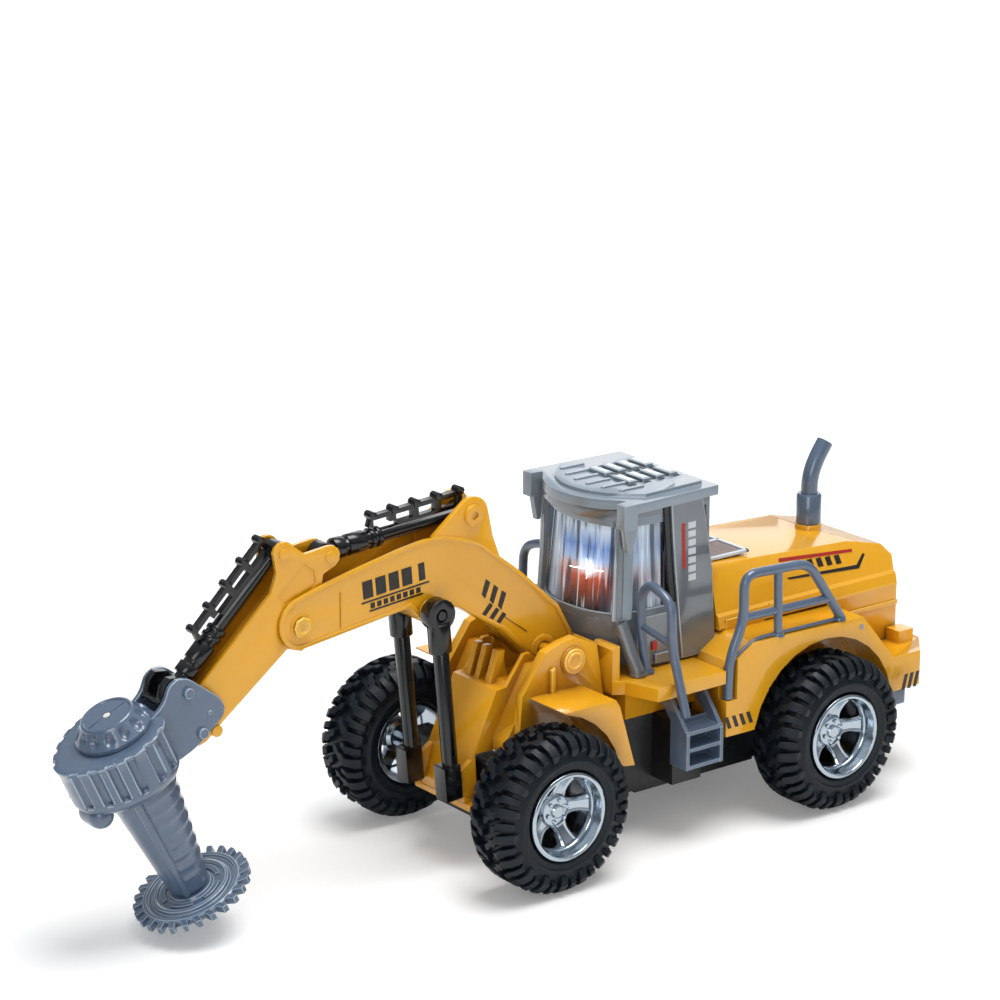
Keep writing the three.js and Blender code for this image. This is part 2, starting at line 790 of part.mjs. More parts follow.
// ---------------------------------------------------------------- front frame
function frontFrame() {
  const chin = sidePlate(
    [
      [46, 72.4],
      [46, 42],
      [74, 42],
      [74, 22],
      [78.6, 22.6],
      [79.4, 28],
      [75.2, 41.2],
      [64.4, 64],
      [60, 64.4],
      [52, 75.2],
      [49, 75.2],
    ],
    -chinHalfWidth,
    chinHalfWidth,
  );
  const chinHollow = box([48, 60], [-11.4, 11.4], [40, 61]);
  const topPocket = sidePlate([[48, 80], [50.4, 66], [62, 66], [62, 80]], -11.2, 11.2);
  const ribs = [[-8.6, -6], [-3.4, -0.8], [3, 6.4]].map(([y0, y1]) =>
    sidePlate([[47, 60], [62.6, 63], [58.4, 76], [55.8, 76], [50, 68]], y0, y1),
  );
  const lip = box([73.4, 79], [-chinHalfWidth - 4, chinHalfWidth + 4], [22, 24.2]);
  const clevis = bothSides((s) => {
    const y = s * liftY;
    return sidePlate(
      [
        [73, 24],
        ...arc(liftFoot, 2.6, -80, 60, 5),
        [74, 41],
      ],
      y - 1.2,
      y + 1.2,
    );
  });
  const ear = [
    [62.9, 46],
    [61.4, 64],
    [51, 78.4],
    [44, 80.8],
    [37.1, 81.8],
    [27.5, 77.2],
    [24.4, 57.7],
    [23, 42],
    [24, 21.7],
    [34.2, 21.7],
    [35, 42],
    [60, 42],
  ];
  const ears = bothSides((s) => sidePlate(ear, ...span(s, earOuterY - earThickness, earOuterY)));
  const bridge = box([24.6, 60], [-earOuterY + 1, earOuterY - 1], [42, 57]);
  const shelves = bothSides((s) =>
    sidePlate([[58, 42], [66, 42], [66, 47], [52, 72], [48, 72]], ...span(s, 12, 21)),
  );
  const flare = [
    [58.2, 63.3],
    [35.2, 63.3],
    [33.4, 60.4],
    [26.3, 36.6],
    [31.4, 37.3],
    [40, 46],
    [58.2, 62],
  ];
  const flares = bothSides((s) => sidePlate(flare, ...span(s, earOuterY - 1, bodyHalfWidth)));
  const archHoles = bothSides((s) => {
    const [y0, y1] = span(s, earOuterY, 50);
    return crossPin([frontAxleX, axleZ], y0, y1, frontArchRadius, 28);
  });
  const bossRings = bothSides((s) => crossPin(boomPivot, ...span(s, 23, earOuterY + 0.8), 5.4, 20));
  const pinHole = crossPin(boomPivot, -30, 30, 3.9, 20);
  const innerPinHole = crossPin(boomPivot, -19, 19, 7, 20);
  const axleTunnel = box([34.5, 73], [-30, 30], [19, 41.9]);
  const footHoles = crossPin(liftFoot, -20, 20, 1.3, 12);
  const body = join(
    cut(chin, chinHollow, topPocket),
    ribs,
    lip,
    clevis,
    bridge,
    shelves,
    ears,
    flares,
    bossRings,
  );
  const heelRoom = crossPin(boomPivot, -9, 9, 17.2, 24);
  return cut(body, archHoles, pinHole, innerPinHole, axleTunnel, footHoles, heelRoom);
}

function boomPin() {
  const core = crossPin(boomPivot, -22, 22, 2.4, 16);
  const heads = bothSides((s) => crossPin(boomPivot, ...span(s, 20.6, earOuterY + 2.2), 3.6, 16));
  const bores = bothSides((s) => crossPin(boomPivot, ...span(s, 21.6, earOuterY + 4), 2.1, 12));
  return cut(join(core, heads), bores);
}

// ---------------------------------------------------------------- boom
const boomOutline = [
  ...arc([143.4, 104.2], 9.4, -84, 72, 8),
  [138, 115.6],
  [119, 119.8],
  [102, 123],
  [92, 124.4],
  [84, 124.2],
  [76, 122.4],
  [67.4, 119],
  [48.9, 104.4],
  [31.9, 88.5],
  [25, 75.7],
  ...arc(boomPivot, 9.6, 220, 250, 1),
  ...arc(boomPivot, 5.6, 262, 330, 3),
  [56.9, 83.9],
  [76.8, 96.6],
  [82, 98],
  ...arc(liftHead, 4.6, 210, 330, 4),
  [98, 100.9],
];

function boom() {
  const outside = sidePlate(boomOutline, -boomHalfWidth, boomHalfWidth);
  const sidePanel = inset(boomOutline, 1.5);
  const panels = bothSides((s) => sidePlate(sidePanel, ...span(s, boomHalfWidth - 0.5, boomHalfWidth + 1)));
  const panelRims = bothSides((s) => [
    crossPin(elbow, ...span(s, boomInside, boomHalfWidth), 4.6, 12),
    crossPin(liftHead, ...span(s, boomInside, boomHalfWidth), 4.4, 12),
    crossPin(boomPivot, ...span(s, boomInside, boomHalfWidth), 5.4, 12),
  ]).flat();
  const channel = sidePlate(
    [
      [106, 112],
      [112, 101.6],
      [128, 98.6],
      [134, 90],
      [160, 90],
      [160, 130],
      [84, 130],
      [78, 122],
      [84, 117],
    ],
    -boomInside,
    boomInside,
  );
  const tab = [
    [57.6, 110],
    [86, 117],
    [87.4, 124.2],
    ...arc(dipperFoot, 6.6, 45, 165, 8),
    [61.3, 120.3],
  ];
  const tabs = bothSides((s) => sidePlate(tab, ...span(s, 4.6, 6.7)));
  const tabBosses = bothSides((s) => crossPin(dipperFoot, ...span(s, 6.5, 8.1), 3.9, 18));
  const tabPin = crossPin(dipperFoot, -5, 5, 1.5, 12);
  const screwHoles = bothSides((s) => crossPin(dipperFoot, ...span(s, 7.2, 9), 1.5, 12));
  const headPin = crossPin(liftHead, -14.4, 14.4, 1.6, 12);
  const bossHoles = [crossPin(elbow, -9, 9, 2.6, 16), crossPin(boomPivot, -9, 9, 2.8, 16)];
  const body = join(cut(outside, channel, panels), panelRims, tabs);
  return cut(join(cut(body, bossHoles), tabBosses, tabPin, headPin), screwHoles);
}

function elbowPin() {
  const core = crossPin(elbow, -8, 8, 2.3, 16);
  const heads = bothSides((s) => crossPin(elbow, ...span(s, boomHalfWidth + gap, 9.1), 3.85, 8));
  const holes = bothSides((s) => crossPin(elbow, ...span(s, 8.2, 10), 1.8, 12));
  return cut(join(core, heads), holes);
}

// ---------------------------------------------------------------- stick
const stickOutline = [
  [154.9, 116.8],
  [152.6, 123.4],
  ...arc(toolFoot, 4.4, 10, 150, 5),
  [141, 128.2],
  ...arc(dipperHead, 4, 80, 240, 5),
  [133.6, 119.6],
  [135, 112],
  [134.4, 104],
  [137, 97],
  [143, 93.8],
  [148.9, 95.7],
  [175.2, 75.6],
  ...arc(wrist, 5.4, 235, 400, 5),
  [183.6, 90],
];

function stick() {
  const outside = sidePlate(stickOutline, -stickHalfWidth, stickHalfWidth);
  const panels = bothSides((s) => {
    const face = [[136.6, 117.4], [138.4, 114.8], [149.4, 111.6], [152.2, 115.2], [141.2, 125], [137.4, 122]];
    return sidePlate(face, ...span(s, stickHalfWidth - 0.5, stickHalfWidth + 1));
  });
  const trough = sidePlate(
    [[119, 115.4], [149, 115.4], [178.5, 88.5], [200, 80], [200, 140], [119, 140]],
    -stickInside,
    stickInside,
  );
  const pins = [crossPin(toolFoot, -5, 5, 1.5, 12), crossPin(dipperHead, -5, 5, 1.5, 12)];
  const heads = bothSides((s) => [
    crossPin(toolFoot, ...span(s, 5.5, 6.7), 2.2, 12),
    crossPin(dipperHead, ...span(s, 5.5, 6.7), 2.2, 12),
    crossPin([178.2, 72.6], ...span(s, 3, 6.6), 2.1, 12),
  ]).flat();
  const holes = [crossPin(elbow, -9, 9, 2.6, 16), crossPin(wrist, -9, 9, 1.9, 12)];
  return cut(join(cut(outside, panels, trough), pins, heads), holes);
}

// ---------------------------------------------------------------- cylinders
// In a cylinder's own frame the foot pivot is the origin and the rod points along +X.
const barrelRadius = 2.6;

function barrelWithGuard(length) {
  const eye = rod([0, -4, 0], [0, 4, 0], 3.8, 14);
  const tube = rod([3, 0, 0], [length, 0, 0], barrelRadius, 14);
  const bore = rod([9, 0, 0], [length + 1, 0, 0], 2.1, 10);
  const pinRoom = rod([0, -5, 0], [0, 5, 0], 1.8, 12);
  const guardEnd = 41;
  const sleeveRoom = 28.6; // the rod's sleeve slides under the guard from here on
  const guardSide = [
    [0, 2.2],
    [sleeveRoom, 2.2],
    [sleeveRoom + 0.4, 4.3],
    [guardEnd, 4.3],
    [guardEnd - 1.6, 8.2],
    [0.6, 8.2],
  ];
  const rail = sidePlate(guardSide, -1.3, 1.3);
  const pitch = (guardEnd - 2) / 4;
  const windows = [0, 1, 2, 3].map((i) => {
    const x = 1.6 + i * pitch;
    return sidePlate([[x + 0.8, 3.6], [x + pitch - 1.8, 3.6], [x + pitch - 1.8, 6.4], [x + 0.8, 6.4]], -2, 2);
  });
  const knobs = [0, 1, 2, 3, 4].map((i) => {
    const x = 1.2 + i * (pitch - 0.3);
    return rod([x, -2.1, 8.2], [x, 2.1, 8.2], 1.5, 8);
  });
  return cut(join(eye, tube, cut(rail, windows), knobs), bore, pinRoom);
}

function rodWithEye(length) {
  const sleeveStart = length - 24.6;
  const shaft = rod([20, 0, 0], [length - 6, 0, 0], 1.7, 12);
  const sleeve = rod([sleeveStart, 0, 0], [length - 6, 0, 0], 3.2, 14);
  const neck = rod([length - 7, 0, 0], [length - 2, 0, 0], 2.6, 14);
  const rings = [0.4, 3.2].map((x) => rod([sleeveStart + x, 0, 0], [sleeveStart + x + 1.5, 0, 0], 3.7, 14));
  const collar = rod([length - 17.4, 0, 0], [length - 10.4, 0, 0], 3.8, 14);
  const block = rod([length - 8.6, 0, 0], [length - 4.8, 0, 0], 3.9, 14);
  const sleeveBore = rod([sleeveStart - 1, 0, 0], [length - 10.2, 0, 0], barrelRadius + gap, 14);
  const eye = rod([length, -2.6, 0], [length, 2.6, 0], 4, 16);
  const hole = rod([length, -4, 0], [length, 4, 0], 2.6, 12);
  return cut(join(cut(join(sleeve, rings, collar, block), sleeveBore), shaft, neck, eye), hole);
}

function liftBarrel() {
  const block = box([-4.4, 8.6], [-3.3, 3.3], [-4.9, 2.2]);
  const slot = box([-6, 5.7], [-1.5, 1.5], [-2.9, 6]);
  const tube = rod([8, 0, 0], [56.4, 0, 0], 2.95, 12);
  const bore = rod([12, 0, 0], [58, 0, 0], 2.3, 10);
  const pin = rod([0, -3, 0], [0, 3, 0], 1, 10);
  return join(cut(join(block, tube), bore, slot), pin);
}

function liftRod(length) {
  const knuckle = rod([length, -2.4, 0], [length, 2.8, 0], 5.9, 18);
  const sleeve = rod([52, 0, 0], [length - 3, 0, 0], 4.2, 14);
  const boomSide = box([40, length], [-8, 7.8 - liftY], [-8, 8]);
  const sleeveBore = rod([50, 0, 0], [length - 5.6, 0, 0], 3.3, 12);
  const shaft = rod([19, 0, 0], [length - 4, 0, 0], 1.9, 10);
  const hole = rod([length, -4, 0], [length, 4, 0], 2.4, 12);
  return cut(join(cut(join(cut(sleeve, boomSide), knuckle), sleeveBore), shaft), hole);
}

function cylinderGroup([footX, footZ], [headX, headZ], y) {
  const group = new THREE.Group();
  group.position.set(footX, y, footZ);
  group.rotation.y = -Math.atan2(headZ - footZ, headX - footX);
  toy.add(group);
  return group;
}

function reach([footX, footZ], [headX, headZ]) {
  return Math.hypot(headX - footX, headZ - footZ);
}

function addCylinders() {
  const dipper = cylinderGroup(dipperFoot, dipperHead, 0);
  const dipperReach = reach(dipperFoot, dipperHead);
  add("dipper_cylinder_barrel", barrelWithGuard(dipperReach - 16), black, dipper);
  add("dipper_cylinder_rod", rodWithEye(dipperReach), black, dipper);
  const tool = cylinderGroup(toolFoot, toolHead, 0);
  const toolReach = reach(toolFoot, toolHead);
  add("tool_cylinder_barrel", barrelWithGuard(toolReach - 16), black, tool);
  add("tool_cylinder_rod", rodWithEye(toolReach), black, tool);
  for (const [name, side] of [["left", 1], ["right", -1]]) {
    const lift = cylinderGroup(liftFoot, liftHead, side * liftY);
    lift.scale.y = side;
    add("lift_cylinder_barrel_" + name, liftBarrel(), black, lift);
    add("lift_cylinder_rod_" + name, liftRod(reach(liftFoot, liftHead)), black, lift);
  }
}

// ---------------------------------------------------------------- saw head
// In the head's own frame the saw's centre is the origin and the spindle is the Z axis.
const housingBottom = 49.6;
const plateTop = 70.2;
const halfHousing = [
  [24.2, 0],
  [23.2, 5.2],
  [20, 10],
  [16, 14],
  [11.5, 17],
  [6, 19.2],
  [0, 19.4],
  [-7.5, 17.4],
  [-13.5, 12.6],
];
const mirroredHousing = halfHousing.slice(1).reverse().map(([x, y]) => [x, -y]);
const housingPlan = [...halfHousing, ...mirroredHousing];

// A side-view point of the toy in the saw head's own frame, as [x, z].
function inHead([x, z]) {
  const dx = x - sawCentre[0];
  const dz = z - sawCentre[1];
  const c = Math.cos(spindleTilt);
  const s = Math.sin(spindleTilt);
  return [c * dx - s * dz, s * dx + c * dz];
}

// A solid of revolution about the spindle; the profile is [radius, height] points.
function spun(profile, sides) {
  const points = profile.map(([r, y]) => new THREE.Vector2(r, y));
  if (THREE.ShapeUtils.area(points) < 0) points.reverse();
  const geometry = new THREE.LatheGeometry(points, sides);
  geometry.rotateX(Math.PI / 2);
  return solid(geometry);
}

function toolHousing() {
  const shell = planPlate(inset(housingPlan, 0.9), 52, plateTop - 1);
  const top = planPlate(housingPlan, plateTop - 1.4, plateTop);
  const bottom = planPlate(inset(housingPlan, 2.6), housingBottom, 52.2);
  const grooveSpots = [[22.9, 6.4], [18.1, 12.4], [13.1, 16.6], [6.4, 19.8], [-1.9, 19.8], [-8.6, 17.6]];
  const grooves = bothSides((s) =>
    grooveSpots.map(([x, y]) => rod([x, s * y, 55.5], [x, s * y, 75], 1.5, 6)),
  ).flat();
  const bay = spun([[0, 51.4], [11.4, 51.4], [11.4, 75], [0, 75]], 20);
  const drain = spun([[0, 45], [9, 45], [9, 55], [0, 55]], 20);
  const ear = [
    [-12, plateTop],
    [-20.4, 74.3],
    [-23.2, 76],
    [-27.6, 74.6],
    [-35.8, 61.1],
    [-36.1, 57],
    [-35, 55.3],
    [-26.5, 52.6],
    [-20.9, 49.9],
    [-12, 49.9],
  ];
  const ears = bothSides((s) => sidePlate(ear, ...span(s, toolEarInside, toolEarOutside)));
  const wristPin = crossPin(inHead(wrist), -9, 9, 1.6, 12);
  const linkPin = crossPin(inHead(toolHead), -9, 9, 1.5, 12);
  const nub = new THREE.SphereGeometry(5.4, 12, 8);
  nub.scale(1, 1, 0.75);
  nub.translate(18.2, 0, 48);
  const body = join(cut(join(shell, top, bottom), grooves), solid(nub), ears);
  return join(cut(body, bay, drain), wristPin, linkPin);
}

function motorCap() {
  const base = plateTop + gap;
  const cap = spun([[0, base], [13.5, base], [13.3, 72.4], [9.7, 77.1], [0, 77.5]], 28);
  const plug = spun([[0, base - 2], [11, base - 2], [11, base + 1], [0, base + 1]], 20);
  return cut(join(cap, plug), box([-8, 8], [-0.4, 0.4], [77, 79]));
}

function linkBlock() {
  const [px, pz] = inHead(toolHead);
  const cheek = [
    [px - 3.4, pz - 1],
    [px - 1, pz + 5],
    [px + 3, pz + 7.4],
    [px + 6.4, pz + 6],
    [-15.6, plateTop + gap],
    [-18.2, plateTop + gap],
  ];
  const cheeks = bothSides((s) => sidePlate(cheek.slice().reverse(), ...span(s, 3, toolEarInside - gap)));
  const bridge = box([-18.2, -16], [-5.5, 5.5], [plateTop + gap, plateTop + 2.2]);
  const pinHole = crossPin([px, pz], -9, 9, 1.9, 12);
  return cut(join(cheeks[0], cheeks[1], bridge), pinHole);
}

function spindleHousing() {
  const top = housingBottom - gap;
  const profile = [[0, 2], [6.2, 2], [7.4, 5.4]];
  const ridges = 6;
  for (let i = 0; i <= ridges; i++) {
    const height = 9.6 + ((top - 3 - 9.6) * i) / ridges;
    const radius = 7.6 + (11.9 - 7.6) * (i / ridges);
    profile.push([radius, height], [radius + 0.5, height + 0.8], [radius + 0.5, height + 2.2]);
  }
  profile.push([12.4, top], [0, top]);
  const cone = spun(profile, 16);
  const [ribX, ribY] = onCircle([0, 0], 1, 52);
  const rib = rod([6.6 * ribX, 6.6 * ribY, 5], [11.8 * ribX, 11.8 * ribY, top], 1.6, 8);
  const bore = spun([[0, 0], [1.9, 0], [1.9, 60], [0, 60]], 12);
  return cut(join(cone, rib), bore);
}

function sawDisc() {
  const teeth = 24;
  const outline = [];
  for (let i = 0; i < teeth; i++) {
    const start = (360 * i) / teeth;
    outline.push(onCircle([0, 0], 18, start), onCircle([0, 0], 21.4, start + 3));
    outline.push(onCircle([0, 0], 21.4, start + 10), onCircle([0, 0], 18, start + 8.5));
  }
  const blade = planPlate(outline, -1.5, 1.2);
  const ring = cut(
    spun([[0, -2], [13.2, -2], [13.2, 1.7], [0, 1.7]], 24),
    spun([[0, 1.2], [11.6, 1.2], [11.6, 3], [0, 3]], 24),
  );
  const pockets = [0, 1, 2, 3, 4].map((i) => {
    const [x, y] = onCircle([0, 0], 10.2, 72 * i);
    return rod([x, y, 0.4], [x, y, 4], 1.7, 8);
  });
  const bore = rod([0, 0, -1], [0, 0, 3], 1.4, 12);
  return cut(join(blade, ring), pockets, bore);
}

function addSawHead() {
  const head = new THREE.Group();
  head.position.set(sawCentre[0], 0, sawCentre[1]);
  head.rotation.y = spindleTilt;
  toy.add(head);
  add("tool_housing", toolHousing(), slate, head);
  add("motor_cap", motorCap(), slate, head);
  add("link_block", linkBlock(), black, head);
  add("spindle_housing", spindleHousing(), slate, head);
  const can = spun([[0, 52], [10.5, 52], [10.5, 68.1], [0, 68.1]], 16);
  const socket = rod([0, 0, 50], [0, 0, 57], 1.7, 12);
  add("saw_motor", cut(can, socket), steel, head);
  add("saw_disc", sawDisc(), slate, head);
  add("saw_shaft", rod([0, 0, -0.6], [0, 0, 56], 1.1, 12), steel, head);
}

// ---------------------------------------------------------------- assembly
add("chassis_tub", chassisTub(), black);
addChassisContents();
addDriveTrain();
addFrontAxle();
addWheel("front_left", frontAxleX, 1);
addWheel("front_right", frontAxleX, -1);
addWheel("rear_left", rearAxleX, 1);
addWheel("rear_right", rearAxleX, -1);
addBody();
addCab();
addRailsAndSteps();
add("front_frame", frontFrame(), yellow);
add("boom_pivot_pin", boomPin(), yellow);
add("boom", boom(), yellow);
add("elbow_pin", elbowPin(), yellow);
add("stick", stick(), yellow);
addCylinders();
addSawHead();

const extent = new THREE.Box3().setFromObject(toy);
toy.position.x = -(extent.min.x + extent.max.x) / 2;
const assembly = new THREE.Group();
assembly.add(toy);

export default assembly;
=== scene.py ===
"""Looks of the toy excavator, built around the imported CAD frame.

Lengths are written in millimetres. The truck's own coordinates start on the ground midway
between the axles: X forward, Y left, Z up.
"""
import json
import math

import bmesh
import bpy
from mathutils import Matrix, Vector


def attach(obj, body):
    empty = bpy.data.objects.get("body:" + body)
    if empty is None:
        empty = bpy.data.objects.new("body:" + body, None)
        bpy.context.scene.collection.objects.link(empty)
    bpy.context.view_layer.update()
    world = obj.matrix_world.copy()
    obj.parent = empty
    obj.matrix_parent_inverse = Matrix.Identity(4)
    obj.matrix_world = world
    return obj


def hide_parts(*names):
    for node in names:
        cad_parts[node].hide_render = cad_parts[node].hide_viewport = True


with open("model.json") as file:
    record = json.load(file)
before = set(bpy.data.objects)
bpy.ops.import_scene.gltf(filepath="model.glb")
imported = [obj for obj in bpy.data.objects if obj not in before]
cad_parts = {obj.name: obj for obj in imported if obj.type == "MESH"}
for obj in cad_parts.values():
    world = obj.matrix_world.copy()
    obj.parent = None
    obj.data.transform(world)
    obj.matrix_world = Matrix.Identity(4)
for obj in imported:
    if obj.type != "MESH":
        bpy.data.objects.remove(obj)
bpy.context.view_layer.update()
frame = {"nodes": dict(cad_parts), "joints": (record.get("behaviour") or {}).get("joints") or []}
nodes = frame["nodes"]
joints = {joint["name"]: joint for joint in frame["joints"]}

MM = 0.001
SIDES = (("left", 1), ("right", -1))

# Distances between the two pins of a cylinder at rest.
TOOL_CYLINDER_REACH = 57.42
LIFT_CYLINDER_REACH = 66.06


# ---------- places
def joint_place(name):
    return Vector(joints[name]["pos_m"])


front_axle = joint_place("front_wheel_spin_left")
rear_axle = joint_place("rear_axle_spin")
middle_x = (front_axle.x + rear_axle.x) / 2
truck = Matrix.Translation((middle_x, 0, 0)) @ Matrix.Scale(MM, 4)


def axes(origin, x, y, z):
    """A place whose local axes point along x, y and z, measured in millimetres."""
    turn = Matrix((x, y, z)).transposed().to_4x4()
    return Matrix.Translation(origin) @ turn @ Matrix.Scale(MM, 4)


def wheel_place(x, side):
    """A wheel's place: local Z points away from the truck."""
    centre = Vector((x, side * front_axle.y, front_axle.z))
    inward = axes(centre, Vector((side, 0, 0)), Vector((0, 0, 1)), Vector((0, -side, 0)))
    return inward @ Matrix.Rotation(math.pi, 4, "X")


# The tool head's own place: local Z runs up the saw's axis from the middle of the disc.
saw_axis = Vector(joints["saw_spin"]["axis"]).normalized()
saw_forward = Vector((saw_axis.z, 0, -saw_axis.x))
head = axes(joint_place("saw_spin"), saw_forward, Vector((0, 1, 0)), saw_axis)


# ---------- materials
CAB_LAMP = (19.6, 8.8, 100.4)

# Noise scales, in waves per metre, from broad clouds down to the finest grain.
CLOUD = 38
SCUFF = 420
GRAIN = 700
GLOSS_GRAIN = 800
RUBBER_GRAIN = 2200

# How near another surface has to be for painted shade to darken a crease.
CREASE_SIZE = 16
SCUFF_WHITE = "#F2EEE6"
PLATING = "#B9C4CE"


def linear(hex_colour):
    """A colour such as #E9A617 as linear red, green, blue and alpha."""
    parts = [int(hex_colour[i : i + 2], 16) / 255 for i in (1, 3, 5)]
    return [p / 12.92 if p <= 0.04045 else ((p + 0.055) / 1.055) ** 2.4 for p in parts] + [1]


class Nodes:
    """Adds and joins shader nodes."""

    def __init__(self, tree):
        self.tree = tree

    def feed(self, target, value):
        """Gives an input a number, a colour or another node's output."""
        if isinstance(value, bpy.types.NodeSocket):
            self.tree.links.new(value, target)
        elif isinstance(value, str):
            target.default_value = linear(value)
        else:
            target.default_value = value

    def node(self, kind, inputs=None, **settings):
        made = self.tree.nodes.new(kind)
        for key, value in settings.items():
            setattr(made, key, value)
        for key, value in (inputs or {}).items():
            self.feed(made.inputs[key], value)
        return made

    def blend(self, factor, first, second):
        made = self.node("ShaderNodeMix", {"Factor": factor}, data_type="RGBA")
        ends = [socket for socket in made.inputs if socket.type == "RGBA"]
        for target, value in zip(ends, (first, second)):
            self.feed(target, value)
        return [socket for socket in made.outputs if socket.type == "RGBA"][0]

    def ramp(self, source, stops):
        """Colours by a value; stops are (value, colour)."""
        made = self.node("ShaderNodeValToRGB", {"Fac": source})
        elements = made.color_ramp.elements
        elements[0].position = stops[0][0]
        elements[1].position = stops[-1][0]
        for position, colour in stops[1:-1]:
            elements.new(position)
        for element, (position, colour) in zip(elements, stops):
            element.color = colour
        return made.outputs["Color"]

    def part(self, vector, axis):
        return self.node("ShaderNodeSeparateXYZ", {"Vector": vector}).outputs[axis]


class Paint(Nodes):
    """A material whose colour, roughness and bump come from noise in object space."""

    def __init__(self, name):
        self.material = bpy.data.materials.new(name)
        self.material.use_nodes = True
        super().__init__(self.material.node_tree)
        self.surface = self.tree.nodes["Principled BSDF"]
        self.coordinates = self.node("ShaderNodeTexCoord").outputs["Object"]

    def set(self, **values):
        """Feeds the surface's inputs, such as Base_Color."""
        for key, value in values.items():
            self.feed(self.surface.inputs[key.replace("_", " ")], value)

    def noise(self, scale, detail=3.0, vector=None):
        vector = self.coordinates if vector is None else vector
        values = {"Scale": scale, "Detail": detail, "Vector": vector}
        return self.node("ShaderNodeTexNoise", values).outputs["Fac"]

    def span(self, source, low, high, start=0.3, end=0.7):
        limits = {"From Min": start, "From Max": end, "To Min": low, "To Max": high}
        return self.node("ShaderNodeMapRange", {"Value": source, **limits}).outputs["Result"]

    def bump(self, source, strength, distance):
        values = {"Height": source, "Strength": strength, "Distance": distance * MM}
        self.set(Normal=self.node("ShaderNodeBump", values).outputs["Normal"])


# The paler materials of rounded edges, a painted highlight, by the name of the material they go with.
painted_edge_highlights = {}


def moulded(name, colour, shade, rough, edge=None, crease=None, reach=0.62, scuff=0.02, **values):
    """Moulded plastic: cloudy colour, faint rub marks, fine grain and painted shade in creases.

    With an edge colour, a second, paler material is made for the rounded edges of the pieces: a painted
    highlight along them.
    """
    # The edge colour is a painted highlight for the rounded edges.
    if edge:
        painted_edge_highlights[name] = moulded(name + "_edge", edge, edge, rough, None, crease, reach, scuff, **values)
    paint = Paint(name)
    cloud = paint.span(paint.noise(CLOUD), 0, 1)
    rub = paint.span(paint.noise(SCUFF, 6), 0, scuff, 0.5, 0.75)
    base = paint.blend(cloud, colour, shade)
    base = paint.blend(rub, base, SCUFF_WHITE)
    # Painted shade: where other surfaces are near, the colour darkens towards the crease colour.
    if crease:
        shadow = paint.node("ShaderNodeAmbientOcclusion", {"Distance": CREASE_SIZE * MM}, samples=4)
        open_air = paint.span(shadow.outputs["AO"], 0.25, 1, reach - 0.5, reach)
        base = paint.blend(open_air, crease, base)
    paint.set(Base_Color=base, Roughness=paint.span(paint.noise(GLOSS_GRAIN), *rough))
    paint.bump(paint.noise(GRAIN, 2), 0.02, 0.02)
    paint.set(**values)
    return paint.material


def tyre_rubber():
    """Dull blue-black rubber with a dusting of grey and a fine grain."""
    paint = Paint("tyre_rubber")
    dust = paint.span(paint.noise(90, 6), 0, 0.3, 0.45, 0.75)
    base = paint.blend(dust, "#08121A", "#162430")
    paint.set(Base_Color=base, Roughness=paint.span(paint.noise(GRAIN), 0.4, 0.55))
    paint.bump(paint.noise(RUBBER_GRAIN, 4), 0.2, 0.05)
    paint.set(Specular_IOR_Level=0.35)
    return paint.material


def bright_metal(name, colour, rough, brushed=0.0):
    """Metal or bright plating with uneven gloss; brushed adds depth to its grain."""
    paint = Paint(name)
    stain = paint.span(paint.noise(120, 5), 0, 0.5)
    base = paint.blend(stain, colour, PLATING)
    paint.set(Base_Color=base, Roughness=paint.span(paint.noise(500), *rough))
    paint.bump(paint.noise(900, 2), 0.06 + brushed, 0.04)
    paint.set(Metallic=1.0)
    return paint.material


def clear_glass():
    """Thin clear plastic with a faint haze and ripple."""
    paint = Paint("clear_glass")
    haze = paint.span(paint.noise(160, 4), 0.03, 0.12)
    tint = paint.blend(paint.span(paint.noise(60), 0, 1), "#F4F8FB", "#DDE6EE")
    paint.set(Base_Color=tint, Roughness=haze)
    paint.bump(paint.noise(240, 2), 0.08, 0.05)
    paint.set(Transmission_Weight=1.0, IOR=1.18)
    return paint.material


def distance_beside(paint, middle):
    """How far a point lies to either side of a line along the truck."""
    across = paint.part(paint.coordinates, "Y")
    offset = paint.node("ShaderNodeMath", {0: across, 1: middle * MM}, operation="SUBTRACT")
    return paint.node("ShaderNodeMath", {0: offset.outputs["Value"]}, operation="ABSOLUTE").outputs["Value"]


# Noise drawn out upright along the flutes, used for the lining's bump and for its painted highlights and
# shade.
def upright_streaks(paint):
    stretch = paint.node("ShaderNodeMapping", {"Vector": paint.coordinates, "Scale": (420, 420, 22)})
    return paint.noise(1.0, 2.0, stretch.outputs["Vector"])


